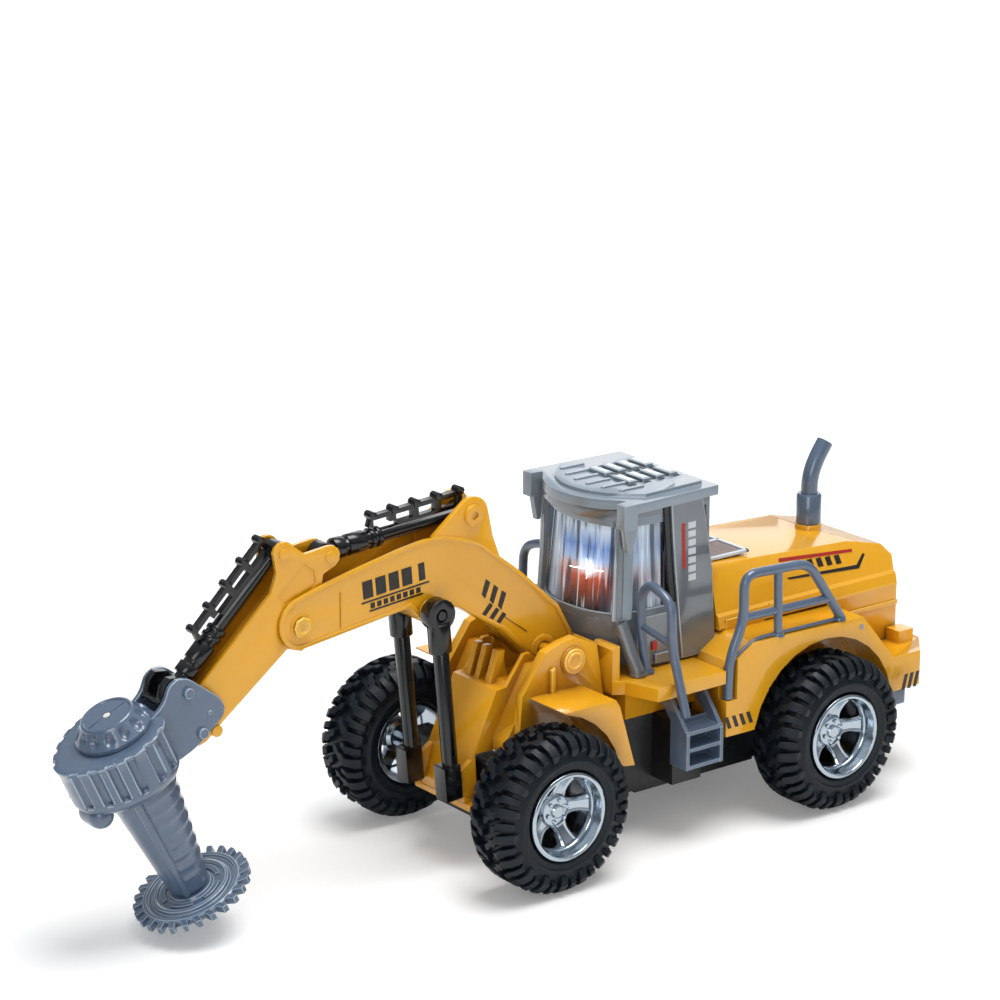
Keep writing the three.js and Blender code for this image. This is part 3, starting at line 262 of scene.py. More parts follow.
def cab_glow():
    """The fluted lining behind the windows, with the cab lamp's light painted on: a painted red glow below
    and blue above the lamp, pale grey beside it, painted highlights and shade in upright streaks, and a
    painted white pool round the bulb.
    """
    stops = (
        (0.0, "#3A2A24"),
        (0.14, "#7A3722"),
        (0.32, "#C9552F"),
        (0.42, "#E0B9B0"),
        (0.50, "#B9CBEC"),
        (0.64, "#7C9CD8"),
        (0.82, "#DDE5EE"),
        (1.0, "#8B949E"),
    )
    sill, header = 85, 121
    glow_middle, glow_half, fade_end = 6, 9, 16
    halo_start, halo_end = 0.9, 4.6
    paint = Paint("cab_glow")
    height = paint.span(paint.part(paint.coordinates, "Z"), 0, 1, sill * MM, header * MM)
    beside = distance_beside(paint, glow_middle)
    pale = paint.span(beside, 0, 0.9, glow_half * MM, fade_end * MM)
    # Painted glow of the cab lamp, red below it and blue above, fading to pale grey to either side.
    painted_lamp_glow = paint.ramp(height, [(place, linear(colour)) for place, colour in stops])
    coloured = paint.blend(pale, painted_lamp_glow, "#B4BCC6")
    streak = upright_streaks(paint)
    # Painted shade and painted highlights in upright streaks along the flutes.
    dark = paint.span(streak, 0, 0.85, 0.52, 0.62)
    light = paint.span(streak, 0.75, 0, 0.34, 0.44)
    coloured = paint.blend(dark, coloured, "#39424F")
    coloured = paint.blend(light, coloured, "#F4F7FA")
    # A painted pool of white light round the bulb.
    bulb = truck @ Vector(CAB_LAMP)
    lamp = paint.node("ShaderNodeVectorMath", {0: paint.coordinates, 1: bulb}, operation="DISTANCE")
    halo = paint.span(lamp.outputs["Value"], 0.85, 0, halo_start * MM, halo_end * MM)
    coloured = paint.blend(halo, coloured, "#FFFFFF")
    # The lining glows faintly itself, painted light, though it holds no lamp.
    paint.set(Base_Color=coloured, Emission_Color=coloured, Emission_Strength=0.42)
    paint.set(Roughness=paint.span(paint.noise(GLOSS_GRAIN), 0.3, 0.4))
    paint.bump(streak, 0.5, 0.6)
    return paint.material


def lit(name, colour, strength):
    """A lens with a lamp behind it."""
    paint = Paint(name)
    tone = paint.blend(paint.noise(300), colour, "#FFFFFF")
    paint.set(Base_Color=tone, Emission_Color=tone, Roughness=0.2, Emission_Strength=strength)
    return paint.material


# In the moulded plastics below, an edge colour is the painted highlight of rounded edges, and a crease
# colour is painted shade in creases.
GLOSSY = {"Coat_Weight": 0.5, "Coat_Roughness": 0.08}
# Yellow: colour, second random tone, roughness, painted edge highlight, painted crease shade.
YELLOWS = ("#E9A617", "#EBAA1F", (0.2, 0.23), "#F7CA5A", "#6A2803")
yellow = moulded("yellow_plastic", *YELLOWS, **GLOSSY)
# The front frame's yellow, with stronger painted shade in its creases.
shaded_frame_yellow = moulded("yellow_plastic_shaded_frame", *YELLOWS, reach=0.92, **GLOSSY)
SATIN = (0.29, 0.35)
slate = moulded(
    "slate_plastic", "#4F6178", "#566880", SATIN, "#93A5B6", Coat_Weight=0.9, Coat_Roughness=0.06
)
smoke = moulded(
    "smoke_plastic", "#6F767D", "#7A8188", (0.16, 0.24), "#A9B1B9", Metallic=0.3, Coat_Weight=0.8
)
roof_grey = moulded("roof_plastic", "#84919D", "#8B98A4", SATIN, "#B4BEC8", Metallic=0.1, Coat_Weight=0.7)
black = moulded("black_plastic", "#050608", "#090B0D", (0.2, 0.26), "#14181C", scuff=0.01, Coat_Weight=0.2)
chassis_black = moulded("chassis_plastic", "#090B0D", "#101316", (0.35, 0.45), "#1A1E22", scuff=0.01)
rubber = tyre_rubber()
chrome = bright_metal("plated_rim", PLATING, (0.13, 0.2))
steel = bright_metal("turned_steel", "#8E9296", (0.3, 0.4), 0.1)
glass = clear_glass()
white = moulded("white_plastic", "#E9E8E4", "#DAD8D2", (0.3, 0.45))
frame_white = moulded("frame_white", "#D3DAE2", "#C0CAD5", (0.3, 0.4))
slat_brown = moulded("slat_brown", "#6B5A55", "#8B7A74", (0.3, 0.5))
circuit = moulded("circuit_board_green", "#1E5B35", "#2A6E42", (0.3, 0.5))
cell_sleeve = moulded("cell_sleeve_green", "#2F6B3F", "#3C7A4B", (0.3, 0.4))
decal_black = moulded("decal_black", "#171512", "#211D17", (0.3, 0.45), scuff=0.01)
decal_red = moulded("decal_red", "#A81E18", "#B92A1E", (0.3, 0.45))
decal_pale = moulded("decal_pale", "#DDE2E6", "#CBD2D8", (0.3, 0.45))
glow = cab_glow()
lamp_white = lit("lamp_white", "#FFFFFF", 25)
lamp_red = lit("lamp_red", "#D8281A", 0.5)
lamp_blue = lit("lamp_blue", "#3C74E0", 0.5)

FINE_NODES = ("dipper_cylinder_barrel", "dipper_cylinder_rod", "tool_cylinder_barrel", "tool_cylinder_rod")
NODE_MATERIALS = (
    (yellow, ("rear_body", "engine_hood", "boom_pivot_pin", "boom", "elbow_pin", "stick")),
    (shaded_frame_yellow, ("front_frame",)),
    (slate, ("rear_light_bar", "step_left", "step_right")),
    (roof_grey, ("cab_roof",)),
    (smoke, ("cab_frame",)),
    (chassis_black, ("chassis_tub", "battery_cover", "front_axle_beam", "tie_rod")),
    (chassis_black, ("steering_knuckle_left", "steering_knuckle_right")),
    (black, FINE_NODES),
    (black, ("lift_cylinder_barrel_left", "lift_cylinder_barrel_right", "link_block")),
    (black, ("lift_cylinder_rod_left", "lift_cylinder_rod_right")),
    (white, ("cab_lamp_stand", "power_switch", "axle_gear", "reduction_gear")),
    (steel, ("rear_axle_shaft", "motor_pinion", "saw_shaft", "drive_motor", "steering_motor", "saw_motor")),
    (cell_sleeve, ("battery_pack",)),
    (circuit, ("circuit_board",)),
)
def soften(piece, width, limit=32):
    """Rounds the edges sharper than limit degrees to width millimetres, and shades the rest smoothly."""
    for polygon in piece.data.polygons:
        polygon.use_smooth = True
    bevel = piece.modifiers.new("rounded edges", "BEVEL")
    bevel.width = width * MM
    bevel.segments = 2
    bevel.limit_method = "ANGLE"
    bevel.angle_limit = math.radians(limit)
    bevel.harden_normals = True
    bevel.use_clamp_overlap = True
    # Rounded edges take the paler material with the painted highlight, where there is one.
    edge_highlight = painted_edge_highlights.get(piece.data.materials[0].name)
    if edge_highlight:
        piece.data.materials.append(edge_highlight)
        bevel.material = 1


def dress_frame():
    """Gives each CAD node that stays its material, flat faces free of inner edges, and rounded edges."""
    for material, names in NODE_MATERIALS:
        for name in names:
            piece = nodes[name]
            piece.data.materials.clear()
            piece.data.materials.append(material)
            weld = piece.modifiers.new("weld", "WELD")
            weld.merge_threshold = 0.01 * MM
            flat = piece.modifiers.new("flat faces", "DECIMATE")
            flat.decimate_type = "DISSOLVE"
            flat.angle_limit = math.radians(0.6)
            if name in FINE_NODES:
                soften(piece, 0.25, 38)
            else:
                soften(piece, 0.55)


# ---------- shapes
class Shape:
    """Collects closed bodies in millimetres and turns them into one piece."""

    def __init__(self, place=truck):
        self.place = place
        self.mesh = bmesh.new()

    def loft(self, rings, place=None, closed=False):
        """Joins rings of points; each ring is a closed loop. A closed loft returns to its start."""
        place = self.place if place is None else place
        made = [[self.mesh.verts.new(place @ Vector(p)) for p in ring] for ring in rings]
        count = len(made[0])
        following = made[1:] + made[:1] if closed else made[1:]
        for first, second in zip(made, following):
            for i in range(count):
                j = (i + 1) % count
                self.mesh.faces.new((first[i], first[j], second[j], second[i]))
        if not closed:
            self.mesh.faces.new(list(reversed(made[0])))
            self.mesh.faces.new(made[-1])

    def box(self, x, y, z):
        """A plain bar, such as a rib or slat; x, y and z are (low, high)."""
        outline = [(x[0], y[0]), (x[1], y[0]), (x[1], y[1]), (x[0], y[1])]
        self.loft([[(*corner, height) for corner in outline] for height in z])

    def plate(self, outline, side, near, far):
        """A plate whose (x, z) outline is seen from the side, between two distances from the middle."""
        self.loft([[(x, side * y, z) for x, z in outline] for y in (near, far)])

    def spin(self, profile, segments, place=None, warp=None):
        """A solid of revolution about local Z; profile is (radius, height) as a closed loop."""
        rings = []
        for angle in turns(segments):
            ring = []
            for radius, height in profile:
                if warp:
                    radius, height = warp(radius, height, angle)
                ring.append((radius * math.cos(angle), radius * math.sin(angle), height))
            rings.append(ring)
        self.loft(rings, place, closed=True)

    def ball(self, centre, radius):
        spot = self.place @ Matrix.Translation(centre)
        bmesh.ops.create_uvsphere(self.mesh, u_segments=20, v_segments=12, radius=radius, matrix=spot)

    def drum(self, centre, direction, length, radius, sides=20, end_radius=None):
        """A short cylinder that starts at centre and runs along direction, in local millimetres."""
        end_radius = radius if end_radius is None else end_radius
        turn = Vector(direction).normalized().to_track_quat("Z", "Y").to_matrix().to_4x4()
        place = self.place @ Matrix.Translation(centre) @ turn
        rings = []
        for r, z in ((radius, 0), (end_radius, length)):
            rings.append([(r * math.cos(a), r * math.sin(a), z) for a in turns(sides)])
        self.loft(rings, place)

    def tube(self, points, radius, sides=14, corner=4.0):
        """A round bar along a bent line with rounded corners."""
        path = rounded(points, corner)
        rings = []
        side = None
        for i, here in enumerate(path):
            before = path[max(i - 1, 0)]
            after = path[min(i + 1, len(path) - 1)]
            along = (after - before).normalized()
            side = along.orthogonal() if side is None else side - along * side.dot(along)
            side.normalize()
            other = along.cross(side)
            rings.append([here + (side * math.cos(a) + other * math.sin(a)) * radius for a in turns(sides)])
        self.loft(rings)

    def solid(self, name, material):
        """The collected bodies as one object."""
        bmesh.ops.recalc_face_normals(self.mesh, faces=self.mesh.faces)
        data = bpy.data.meshes.new(name)
        self.mesh.to_mesh(data)
        self.mesh.free()
        data.materials.append(material)
        piece = bpy.data.objects.new(name, data)
        bpy.context.scene.collection.objects.link(piece)
        return piece

    def done(self, name, material, body="chassis", node=None, round_by=0.0, limit=32):
        """Makes the piece, with its edges rounded to round_by millimetres; it may stand for a CAD node."""
        piece = self.solid(name, material)
        if round_by:
            soften(piece, round_by, limit)
        else:
            piece.data.shade_smooth()
            piece.data.set_sharp_from_angle(angle=math.radians(38))
        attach(piece, body)
        if node:
            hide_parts(node)
        return piece


def turns(count):
    """Evenly spaced angles around a full turn."""
    return [2 * math.pi * i / count for i in range(count)]


def rounded(points, corner, steps=6):
    """The points of a bent line, with an arc in place of each inner corner."""
    points = [Vector(p) for p in points]
    path = [points[0]]
    for before, here, after in zip(points, points[1:], points[2:]):
        reach = min(corner, (here - before).length / 2, (after - here).length / 2)
        start = here + (before - here).normalized() * reach
        end = here + (after - here).normalized() * reach
        for i in range(steps + 1):
            t = i / steps
            path.append(start.lerp(here, t).lerp(here.lerp(end, t), t))
    path.append(points[-1])
    return path


def smooth_loop(points, steps=5):
    """A closed smooth curve through the given points."""
    result = []
    count = len(points)
    for i in range(count):
        a, b, c, d = (Vector(points[(i + k) % count]) for k in (-1, 0, 1, 2))
        for j in range(steps):
            t = j / steps
            value = b * 2 + (c - a) * t + (a * 2 - b * 5 + c * 4 - d) * t * t
            value += (b * 3 - a - c * 3 + d) * t**3
            result.append(value / 2)
    return result


# ---------- wheels
TYRE_PITCHES = 18
SPOKES = 5
WHEEL_NUTS = 6

# Half of the tyre's section from the middle of the tread to the sidewall:
# (share of the way across the tread, radius, distance from the middle).
TREAD = ((0, 27.3, 0), (0.42, 27.1, 6.2), (0.62, 26.4, 8.6), (0.76, 24.9, 10.0), (1, 21.8, 10.5))
# The rest of that half, from the bead that grips the rim out to the sidewall: (radius, distance).
SIDEWALL = ((16.7, 9.8), (17.4, 10.7), (19.2, 10.9), (19.6, 11.3), (20.6, 11.3))

# Tread lugs as stations across the tread:
# (share of the way across, degrees along the tread, half width in degrees, height).
LONG_LUG = (
    (0.02, 9.4, 2.4, 2.6),
    (0.14, 8.4, 2.5, 2.7),
    (0.22, 4.6, 2.8, 2.7),
    (0.38, 3.8, 2.9, 2.75),
    (0.45, 0.8, 3.2, 2.75),
    (0.64, 0.2, 3.5, 2.8),
    (0.78, 0.0, 3.5, 2.5),
    (0.9, 0.0, 3.1, 1.7),
    (0.98, 0.0, 2.7, 0.6),
)
SHORT_LUG = (
    (0.28, 13.4, 1.9, 2.5),
    (0.42, 12.6, 2.2, 2.7),
    (0.49, 10.6, 2.4, 2.75),
    (0.66, 10.0, 2.6, 2.7),
    (0.78, 10.0, 2.5, 2.2),
    (0.86, 10.0, 2.1, 0.8),
)


def tread_point(s):
    """Radius and distance from the middle at share s of the way across the tread."""
    for (s0, r0, y0), (s1, r1, y1) in zip(TREAD, TREAD[1:]):
        if s <= s1:
            t = (s - s0) / (s1 - s0)
            return r0 + (r1 - r0) * t, y0 + (y1 - y0) * t
    return TREAD[-1][1:]


def lug(shape, place, side, start, stations):
    """One tread lug, which rises straight up on the tread and leans outward over the shoulder."""
    foot, sunk = 0.8, -1.0
    rings = []
    for s, swing, half, height in stations:
        radius, width = tread_point(s)
        lean = 0.75 * max(0.0, min(1.0, (s - 0.5) / 0.3))
        ring = []
        for turn, lift in ((-half - foot, sunk), (-half, height), (half, height), (half + foot, sunk)):
            angle = math.radians(start + swing + turn)
            r = radius + lift * (1 - lean)
            z = side * (width + lift * lean)
            ring.append((r * math.cos(angle), r * math.sin(angle), z))
        rings.append(ring)
    shape.loft(rings, place)


def tyre_mesh(name, place, body, node):
    shape = Shape(place)
    crown = TREAD[0][1]
    half = list(SIDEWALL) + [station[1:] for station in reversed(TREAD[1:])]
    section = [(radius, -y) for radius, y in half] + [(crown, 0)] + half[::-1]
    shape.spin(section, 72)
    for i in range(TYRE_PITCHES):
        for side, shift in ((1, 0.25), (-1, 0.75)):
            start = 360 / TYRE_PITCHES * (i + shift)
            lug(shape, place, side, start, LONG_LUG)
            lug(shape, place, side, start, SHORT_LUG)
    return shape.done(name, rubber, body, node, round_by=0.22, limit=28)


def spoke_ring(r, share):
    """A spoke's section at radius r: it widens towards both ends, rises outward and is dished on top."""
    half = 2.7 + 1.5 * ((r - 9) / 5) ** 2
    top = 3.2 + 4.0 * share**1.7
    bottom, shoulder, dish = top - 3.2, top - 0.7, top - 0.6
    return [
        (r, -half, bottom),
        (r, half, bottom),
        (r, half, shoulder),
        (r, half * 0.72, top),
        (r, half * 0.5, dish),
        (r, -half * 0.5, dish),
        (r, -half * 0.72, top),
        (r, -half, shoulder),
    ]


def rim_mesh(name, place, body, node):
    shape = Shape(place)
    barrel = [(13.9, -9), (15.9, -9.6), (16.1, -8.8), (15.2, -7.8), (15.2, 7)]
    lip = [(16.2, 8.8), (16.5, 10.4), (16.3, 11.2), (15.6, 11.6), (14.8, 11.4), (14.4, 10.6)]
    bowl = [(14.1, 9.2), (13.7, 8.6), (13.5, 4)]
    shape.spin(barrel + lip + bowl, 64)
    hub_edge, rim_edge, steps = 4.6, 14.2, 8
    for i in range(SPOKES):
        rings = []
        for step in range(steps + 1):
            share = step / steps
            rings.append(spoke_ring(hub_edge + (rim_edge - hub_edge) * share, share))
        turn = Matrix.Rotation(math.radians(360 / SPOKES * i + 38), 4, "Z")
        shape.loft(rings, place @ turn)
    band = [(13.0, 3.4), (14.2, 3.4), (14.2, 7.8), (13.7, 7.5), (13.2, 6.8), (13.0, 6.0)]
    shape.spin(band, 64)
    hub = [(2.2, -9), (4.6, -9), (4.6, -1.6), (6.2, -0.6), (6.4, 2.6), (5.6, 3.7), (4.6, 4.0), (2.2, 4.0)]
    shape.spin(hub, 40)
    cap = [(0.01, 2.0), (2.6, 2.0), (2.6, 4.6), (2.0, 5.2), (0.01, 5.3)]
    shape.spin(cap, 28)
    nut_circle = 4.1
    for i in range(WHEEL_NUTS):
        angle = math.radians(360 / WHEEL_NUTS * i + 15)
        spot = (nut_circle * math.cos(angle), nut_circle * math.sin(angle), 3.6)
        shape.drum(spot, (0, 0, 1), 1.3, 0.95, 6, 0.8)
    return shape.done(name, chrome, body, node, round_by=0.18)


def wheels():
    for end, x in (("front", front_axle.x), ("rear", rear_axle.x)):
        for side_name, side in SIDES:
            place = wheel_place(x, side)
            key = end + "_" + side_name
            body = "front_wheel_" + side_name if end == "front" else "rear_axle"
            tyre_mesh("lugged_tyre_" + key, place, body, "tyre_" + key)
            rim_mesh("spoked_rim_" + key, place, body, "rim_" + key)


# ---------- saw head
SAW_TEETH = 26
CAP_DIMPLES = 13
SPINDLE_TOP = 49.3
HOUSING_TOP = 70.2

# Half of the drum's outline seen along the saw's axis, from its front to its back.
HOUSING_FRONT = ((24.2, 0), (23.2, 5.2), (20, 10), (16, 14), (11.5, 17))
HOUSING_BACK = ((6, 19.2), (0, 19.4), (-7.5, 17.4), (-12.5, 13.2), (-14, 7.5))
# Where the upright grooves lie on that half.
HOUSING_GROOVES = ((22.6, 6.6), (17.8, 12.4), (12.7, 16.4), (6.2, 19.2), (-1.8, 19.3), (-8.4, 17.0))


def housing_outline():
    half = HOUSING_FRONT + HOUSING_BACK
    mirrored = tuple((x, -y) for x, y in reversed(half[1:]))
    return smooth_loop([Vector((x, y)) for x, y in half + mirrored], 12)


def housing_ring(outline, groove_at, height, inset, groove):
    """One level of the drum: the outline drawn in, with its upright grooves pressed in further."""
    count = len(outline)
    groove_half_width = 1.75
    ring = []
    for i, point in enumerate(outline):
        ahead = outline[(i + 1) % count] - outline[i - 1]
        outward = Vector((ahead.y, -ahead.x)).normalized()
        away = min((point - spot).length for spot in groove_at)
        dip = groove * max(0.0, 1 - (away / groove_half_width) ** 2) ** 0.6
        moved = point - outward * (inset + dip)
        ring.append((moved.x, moved.y, height))
    return ring


def tool_housing():
    """The grooved drum with its two ears and the pins through them."""
    grooves = [Vector((x, s * y)) for x, y in HOUSING_GROOVES for s in (1, -1)]
    # Levels from the bottom up: (height, how far the outline is drawn in, groove depth).
    levels = (
        (49.6, 6.0, 0),
        (49.8, 3.6, 0),
        (51.2, 2.4, 0),
        (53.4, 1.1, 0),
        (54.6, 0.8, 0.1),
        (55.4, 0.8, 0.9),
        (56.6, 0.8, 1.45),
        (60, 0.8, 1.5),
        (65, 0.8, 1.5),
        (68.4, 0.75, 1.5),
        (68.9, 0.15, 1.1),
        (69.8, 0.0, 1.0),
        (HOUSING_TOP, 0.5, 0.9),
        (HOUSING_TOP, 3.0, 0),
    )
    outline = housing_outline()
    shape = Shape(head)
    shape.loft([housing_ring(outline, grooves, *level) for level in levels])
    tip = ((-9, 70), (-16.5, 71.6), (-21.6, 77.2), (-28, 75.8))
    root = ((-36.6, 60), (-35.6, 54.6), (-20.9, 50.4), (-9, 50.4))
    ear = [(p.x, p.z) for p in rounded([Vector((x, 0, z)) for x, z in tip + root], 3.4, 4)]
    inner, outer, sunk = 6.3, 8.2, 0.2
    for side in (1, -1):
        shape.plate(ear, side, inner, outer)
        for x, z in pin_spots():
            shape.drum((x, side * (outer - sunk), z), (0, side, 0), 1.6, 2.15, 20, 1.9)
        shape.drum((-30.4, side * (outer - sunk), 58.6), (0, side, 0), 0.7, 1.0, 14)
    for x, z in pin_spots():
        shape.drum((x, -7, z), (0, 1, 0), 14, 1.5, 16)
    shape.done("drum_housing", slate, "head", "tool_housing", round_by=0.35, limit=50)


def housing_bumps():
    """The rounded lug under the drum's front, and a small bead at the foot of each groove."""
    lug_x, lug_y, lug_z, lug_radius = 18.4, 2.6, 48.4, 4.6
    shape = Shape(head)
    for side in (1, -1):
        shape.ball((lug_x, side * lug_y, lug_z), lug_radius)
        for x, y in HOUSING_GROOVES:
            outward = Vector((x, side * y, 0)).normalized()
            shape.ball(Vector((x, side * y, 55.6)) - outward * 1.1, 0.7)
    shape.drum((lug_x, -lug_y, lug_z), (0, 1, 0), 2 * lug_y, lug_radius, 24)
    shape.done("drum_bumps", slate, "head")


def pin_spots():
    """The wrist pin and the link pin in the head's own frame, as (x, z)."""
    inverse = head.inverted()
    wrist = inverse @ joint_place("head_tilt")
    slide = joint_place("tool_barrel_swing")
    along = Vector(joints["tool_rod_slide"]["axis"])
    link = inverse @ (slide + along * TOOL_CYLINDER_REACH * MM)
    return ((wrist.x, wrist.z), (link.x, link.z))


def motor_cap():
    """The dimpled dome on top of the drum, with a white button and a cut across its crown."""
    dimple_circle, dimple_radius = 11.4, 1.6

    def pressed(radius, height, angle):
        step = 2 * math.pi / CAP_DIMPLES
        off = (angle + step / 2) % step - step / 2
        away = math.hypot(off * dimple_circle, (radius - dimple_circle) * 1.1)
        if 71.4 < height < 77 and radius > 9.6:
            dip = 1.2 * max(0.0, 1 - (away / dimple_radius) ** 2) ** 0.5
            return radius - dip * 0.8, height - dip * 0.7
        return radius, height

    flange = [(0.02, 69), (11, 69), (11, 70.5), (13.4, 70.5), (13.5, 71.8)]
    cone = [(13.0 - 3.4 * i / 10, 72.4 + 4.3 * i / 10) for i in range(11)]
    crown = [(9.4, 77.2), (8.9, 77.5), (8.4, 77.4), (8.1, 77.0), (7.6, 77.0), (1.5, 77.2)]
    well = [(1.4, 76.4), (0.02, 76.4)]
    shape = Shape(head)
    shape.spin(flange + cone + crown + well, 144, warp=pressed)
    shape.done("domed_motor_cap", slate, "head", "motor_cap")
    button = Shape(head)
    button.spin([(0.02, 76.3), (1.3, 76.3), (1.3, 77.1), (0.02, 77.2)], 24)
    button.done("cap_button", white, "head")
    seam = Shape(head)
    for ends in ((-7.6, -1.8), (1.8, 7.6)):
        seam.box(ends, (-0.22, 0.22), (76.8, 77.3))
    seam.done("cap_seam", slate, "head")


def spindle():
    """The tapered housing of the saw's shaft, ribbed but for its front, where a bar runs down it."""
    ridge_count = 8

    def ridged(radius, height, angle):
        turned = math.degrees(angle) % 360
        wave = math.sin((height - 8) / (SPINDLE_TOP - 8) * ridge_count * 2 * math.pi)
        if 62 < turned < 330 and 8.5 < height < SPINDLE_TOP - 2 and radius > 3:
            radius += 0.32 * max(-0.2, wave)
        return radius, height

    nose = [(6.2 + 0.9 * i / 4, 2.0 + 1.4 * i / 4) for i in range(5)]
    low_radius, high_radius, low_end, steps = 7.3, 12.4, 4.0, 64
    taper = []
    for i in range(steps + 1):
        radius = low_radius + (high_radius - low_radius) * i / steps
        taper.append((radius, low_end + (SPINDLE_TOP - low_end) * i / steps))
    shape = Shape(head)
    shape.spin([(1.9, 2.0)] + nose + taper + [(1.9, SPINDLE_TOP)], 72, warp=ridged)
    angle = math.radians(52)
    toward = Vector((math.cos(angle), math.sin(angle), 0))
    low = toward * 7.1 + Vector((0, 0, 3.4))
    high = toward * 12.3 + Vector((0, 0, SPINDLE_TOP - 0.4))
    bar_radius = 1.25
    shape.drum(low, high - low, (high - low).length, bar_radius, 16, 1.7)
    shape.ball(low, bar_radius)
    shape.done("ribbed_spindle", slate, "head", "spindle_housing")


def saw():
    """The toothed disc: forward-leaning teeth, a raised rim, curved pads and a domed hub."""
    shape = Shape(head)
    edge = [(1.6, -1.6), (17.6, -1.6), (18.2, -1.2), (18.2, 0.9), (17.6, 1.3), (16.4, 1.3), (15.9, 0.5)]
    rim = [(14.4, 0.5), (13.9, 1.6), (13.0, 2.0), (12.2, 1.6), (11.8, 0.9)]
    hub = [(8.4, 0.9), (7.8, 1.9), (1.6, 1.9)]
    shape.spin(edge + rim + hub, 96)
    # A tooth's corners: (radius, degrees around the disc).
    tooth = ((17.4, 0), (21.3, 5.2), (21.4, 10.4), (20.2, 10.8), (17.4, 8.2))
    for i in range(SAW_TEETH):
        rings = []
        for z in (-1.5, 1.2):
            ring = []
            for radius, turn in tooth:
                angle = math.radians(360 / SAW_TEETH * i + turn)
                ring.append((radius * math.cos(angle), radius * math.sin(angle), z))
            rings.append(ring)
        shape.loft(rings)
    pads = 5
    pad_section = ((9.2, 0.6), (9.4, 1.7), (11.0, 1.7), (11.2, 0.6))
    up = Vector((0, 0, 1))
    for i in range(pads):
        rings = []
        for step in range(7):
            angle = math.radians(360 / pads * i + 12 + 8 * step)
            across = Vector((math.cos(angle), math.sin(angle), 0))
            rings.append([across * radius + up * z for radius, z in pad_section])
        shape.loft(rings)
    shape.done("toothed_saw_disc", slate, "saw", "saw_disc", round_by=0.2)


# ---------- cab
# Half of the bowed front window seen from above, from the door to the middle.
CAB_FRONT = ((-5, 24.6), (6, 23.9), (14.5, 22.6), (18.6, 17), (21.4, 10), (22.4, 0))


def cab_line(scale_x, inset, height):
    """The cab's front outline from left to right at one height."""
    left = [(x * scale_x if x > 0 else x, y - inset, height) for x, y in CAB_FRONT]
    right = [(x, -y, z) for x, y, z in reversed(left[:-1])]
    return rounded([Vector(p) for p in left + right], 5, 4)


def ribbon(shape, outer_low, outer_high, thickness):
    """A bent sheet between two lines, thickened inwards."""
    rings = []
    for low, high in zip(outer_low, outer_high):
        inward = Vector((-low.x, -low.y, 0)).normalized() * thickness
        rings.append([low, high, high + inward, low + inward])
    shape.loft(rings)


def windscreen():
    pane = Shape()
    ribbon(pane, cab_line(1.03, 1.2, 84.6), cab_line(0.86, 2.4, 121), 0.9)
    pane.done("windscreen", glass, node="cab_glass")


def window_rims():
    """The header above the window and the sill below it."""
    header = Shape()
    ribbon(header, cab_line(0.9, 0.6, 117.4), cab_line(0.9, 0.4, 124.2), 1.6)
    header.done("cab_header", roof_grey, round_by=0.3)
    sill = Shape()
    ribbon(sill, cab_line(1.06, -0.2, 82.4), cab_line(1.045, 0.2, 85.6), 1.6)
    sill.done("cab_sill", smoke, round_by=0.4)


def fluted(line):
    """Pushes every other point of a line out, and the rest in."""
    bent = []
    for i, point in enumerate(line):
        outward = Vector((point.x, point.y, 0)).normalized()
        bent.append(point + outward * (0.7 if i % 2 else -0.3))
    return bent


def cab_lining():
    lining = Shape()
    ribbon(lining, fluted(cab_line(0.94, 3.2, 84.2)), fluted(cab_line(0.8, 4.4, 120.8)), 0.8)
    lining.done("fluted_reflector", glow)


def cab_lamp():
    """The bulb behind the glass, with four thin glowing rays in an upright cross: a painted star glint."""
    shape = Shape()
    shape.ball(CAB_LAMP, 0.75)
    lamp_place = truck @ Matrix.Translation(CAB_LAMP) @ Matrix.Rotation(math.radians(24), 4, "Z")
    # The rays are a painted glint, not part of the lamp.
    for angle, reach in ((0, 3.8), (90, 7), (180, 3.8), (270, 7)):
        foot = [(0.6, -0.08, 0), (0.6, 0.08, 0), (0.8, 0, 0)]
        tip = [(0.7, -0.01, reach), (0.7, 0.01, reach), (0.72, 0, reach)]
        shape.loft([foot, tip], lamp_place @ Matrix.Rotation(math.radians(angle), 4, "X"))
    shape.done("cab_lamp", lamp_white)


def cab_side(name, side):
    """Pillar, side panel, door gap and door of one side."""
    pillar = Shape()
    low = [(11.4, 24.6), (19.0, 22.4), (18.4, 20.8), (11.4, 23.0)]
    high = [(9.6, 24.0), (16.6, 21.8), (16.0, 20.4), (9.6, 22.4)]
    pillar.loft([[(x, side * y, z) for x, y in ring] for ring, z in ((low, 83), (high, 120))])
    pillar.done("cab_pillar_" + name, roof_grey, round_by=0.6)
    panel = Shape()
    front = [(-5.4, 124), (-7.4, 100), (-11.6, 63.8)]
    back = [(-26.6, 63.8), (-27.4, 68), (-25.6, 96), (-20.6, 124)]
    panel.plate(front + back, side, 24.7, 26.1)
    panel.done("cab_side_panel_" + name, smoke, round_by=0.5)
    gap = Shape()
    edge = [(-2.8, 123.6), (-4.8, 100), (-6.6, 86), (-9.4, 86), (-7.4, 100), (-5.4, 123.6)]
    gap.plate(edge, side, 23.6, 25.0)
    gap.done("door_gap_" + name, black, round_by=0.2)
    door = Shape()
    leaf = [(6.6, 83), (-7.6, 83), (-9.6, 64.4), (3.8, 64.4)]
    door.loft([[(x, side * (y - 0.06 * max(x, 0)), z) for x, z in leaf] for y in (24.4, 25.3)])
    door.box((-6.5, 1.5), (side * 25.0, side * 26.4), (64.6, 68.4))
    door.done("cab_door_" + name, smoke, round_by=0.35)
    lens = Shape()
    lens.box((0.2, 2.6), (side * 25.0, side * 25.9), (69.8, 73))
    lens.done("door_marker_" + name, decal_red, round_by=0.2)


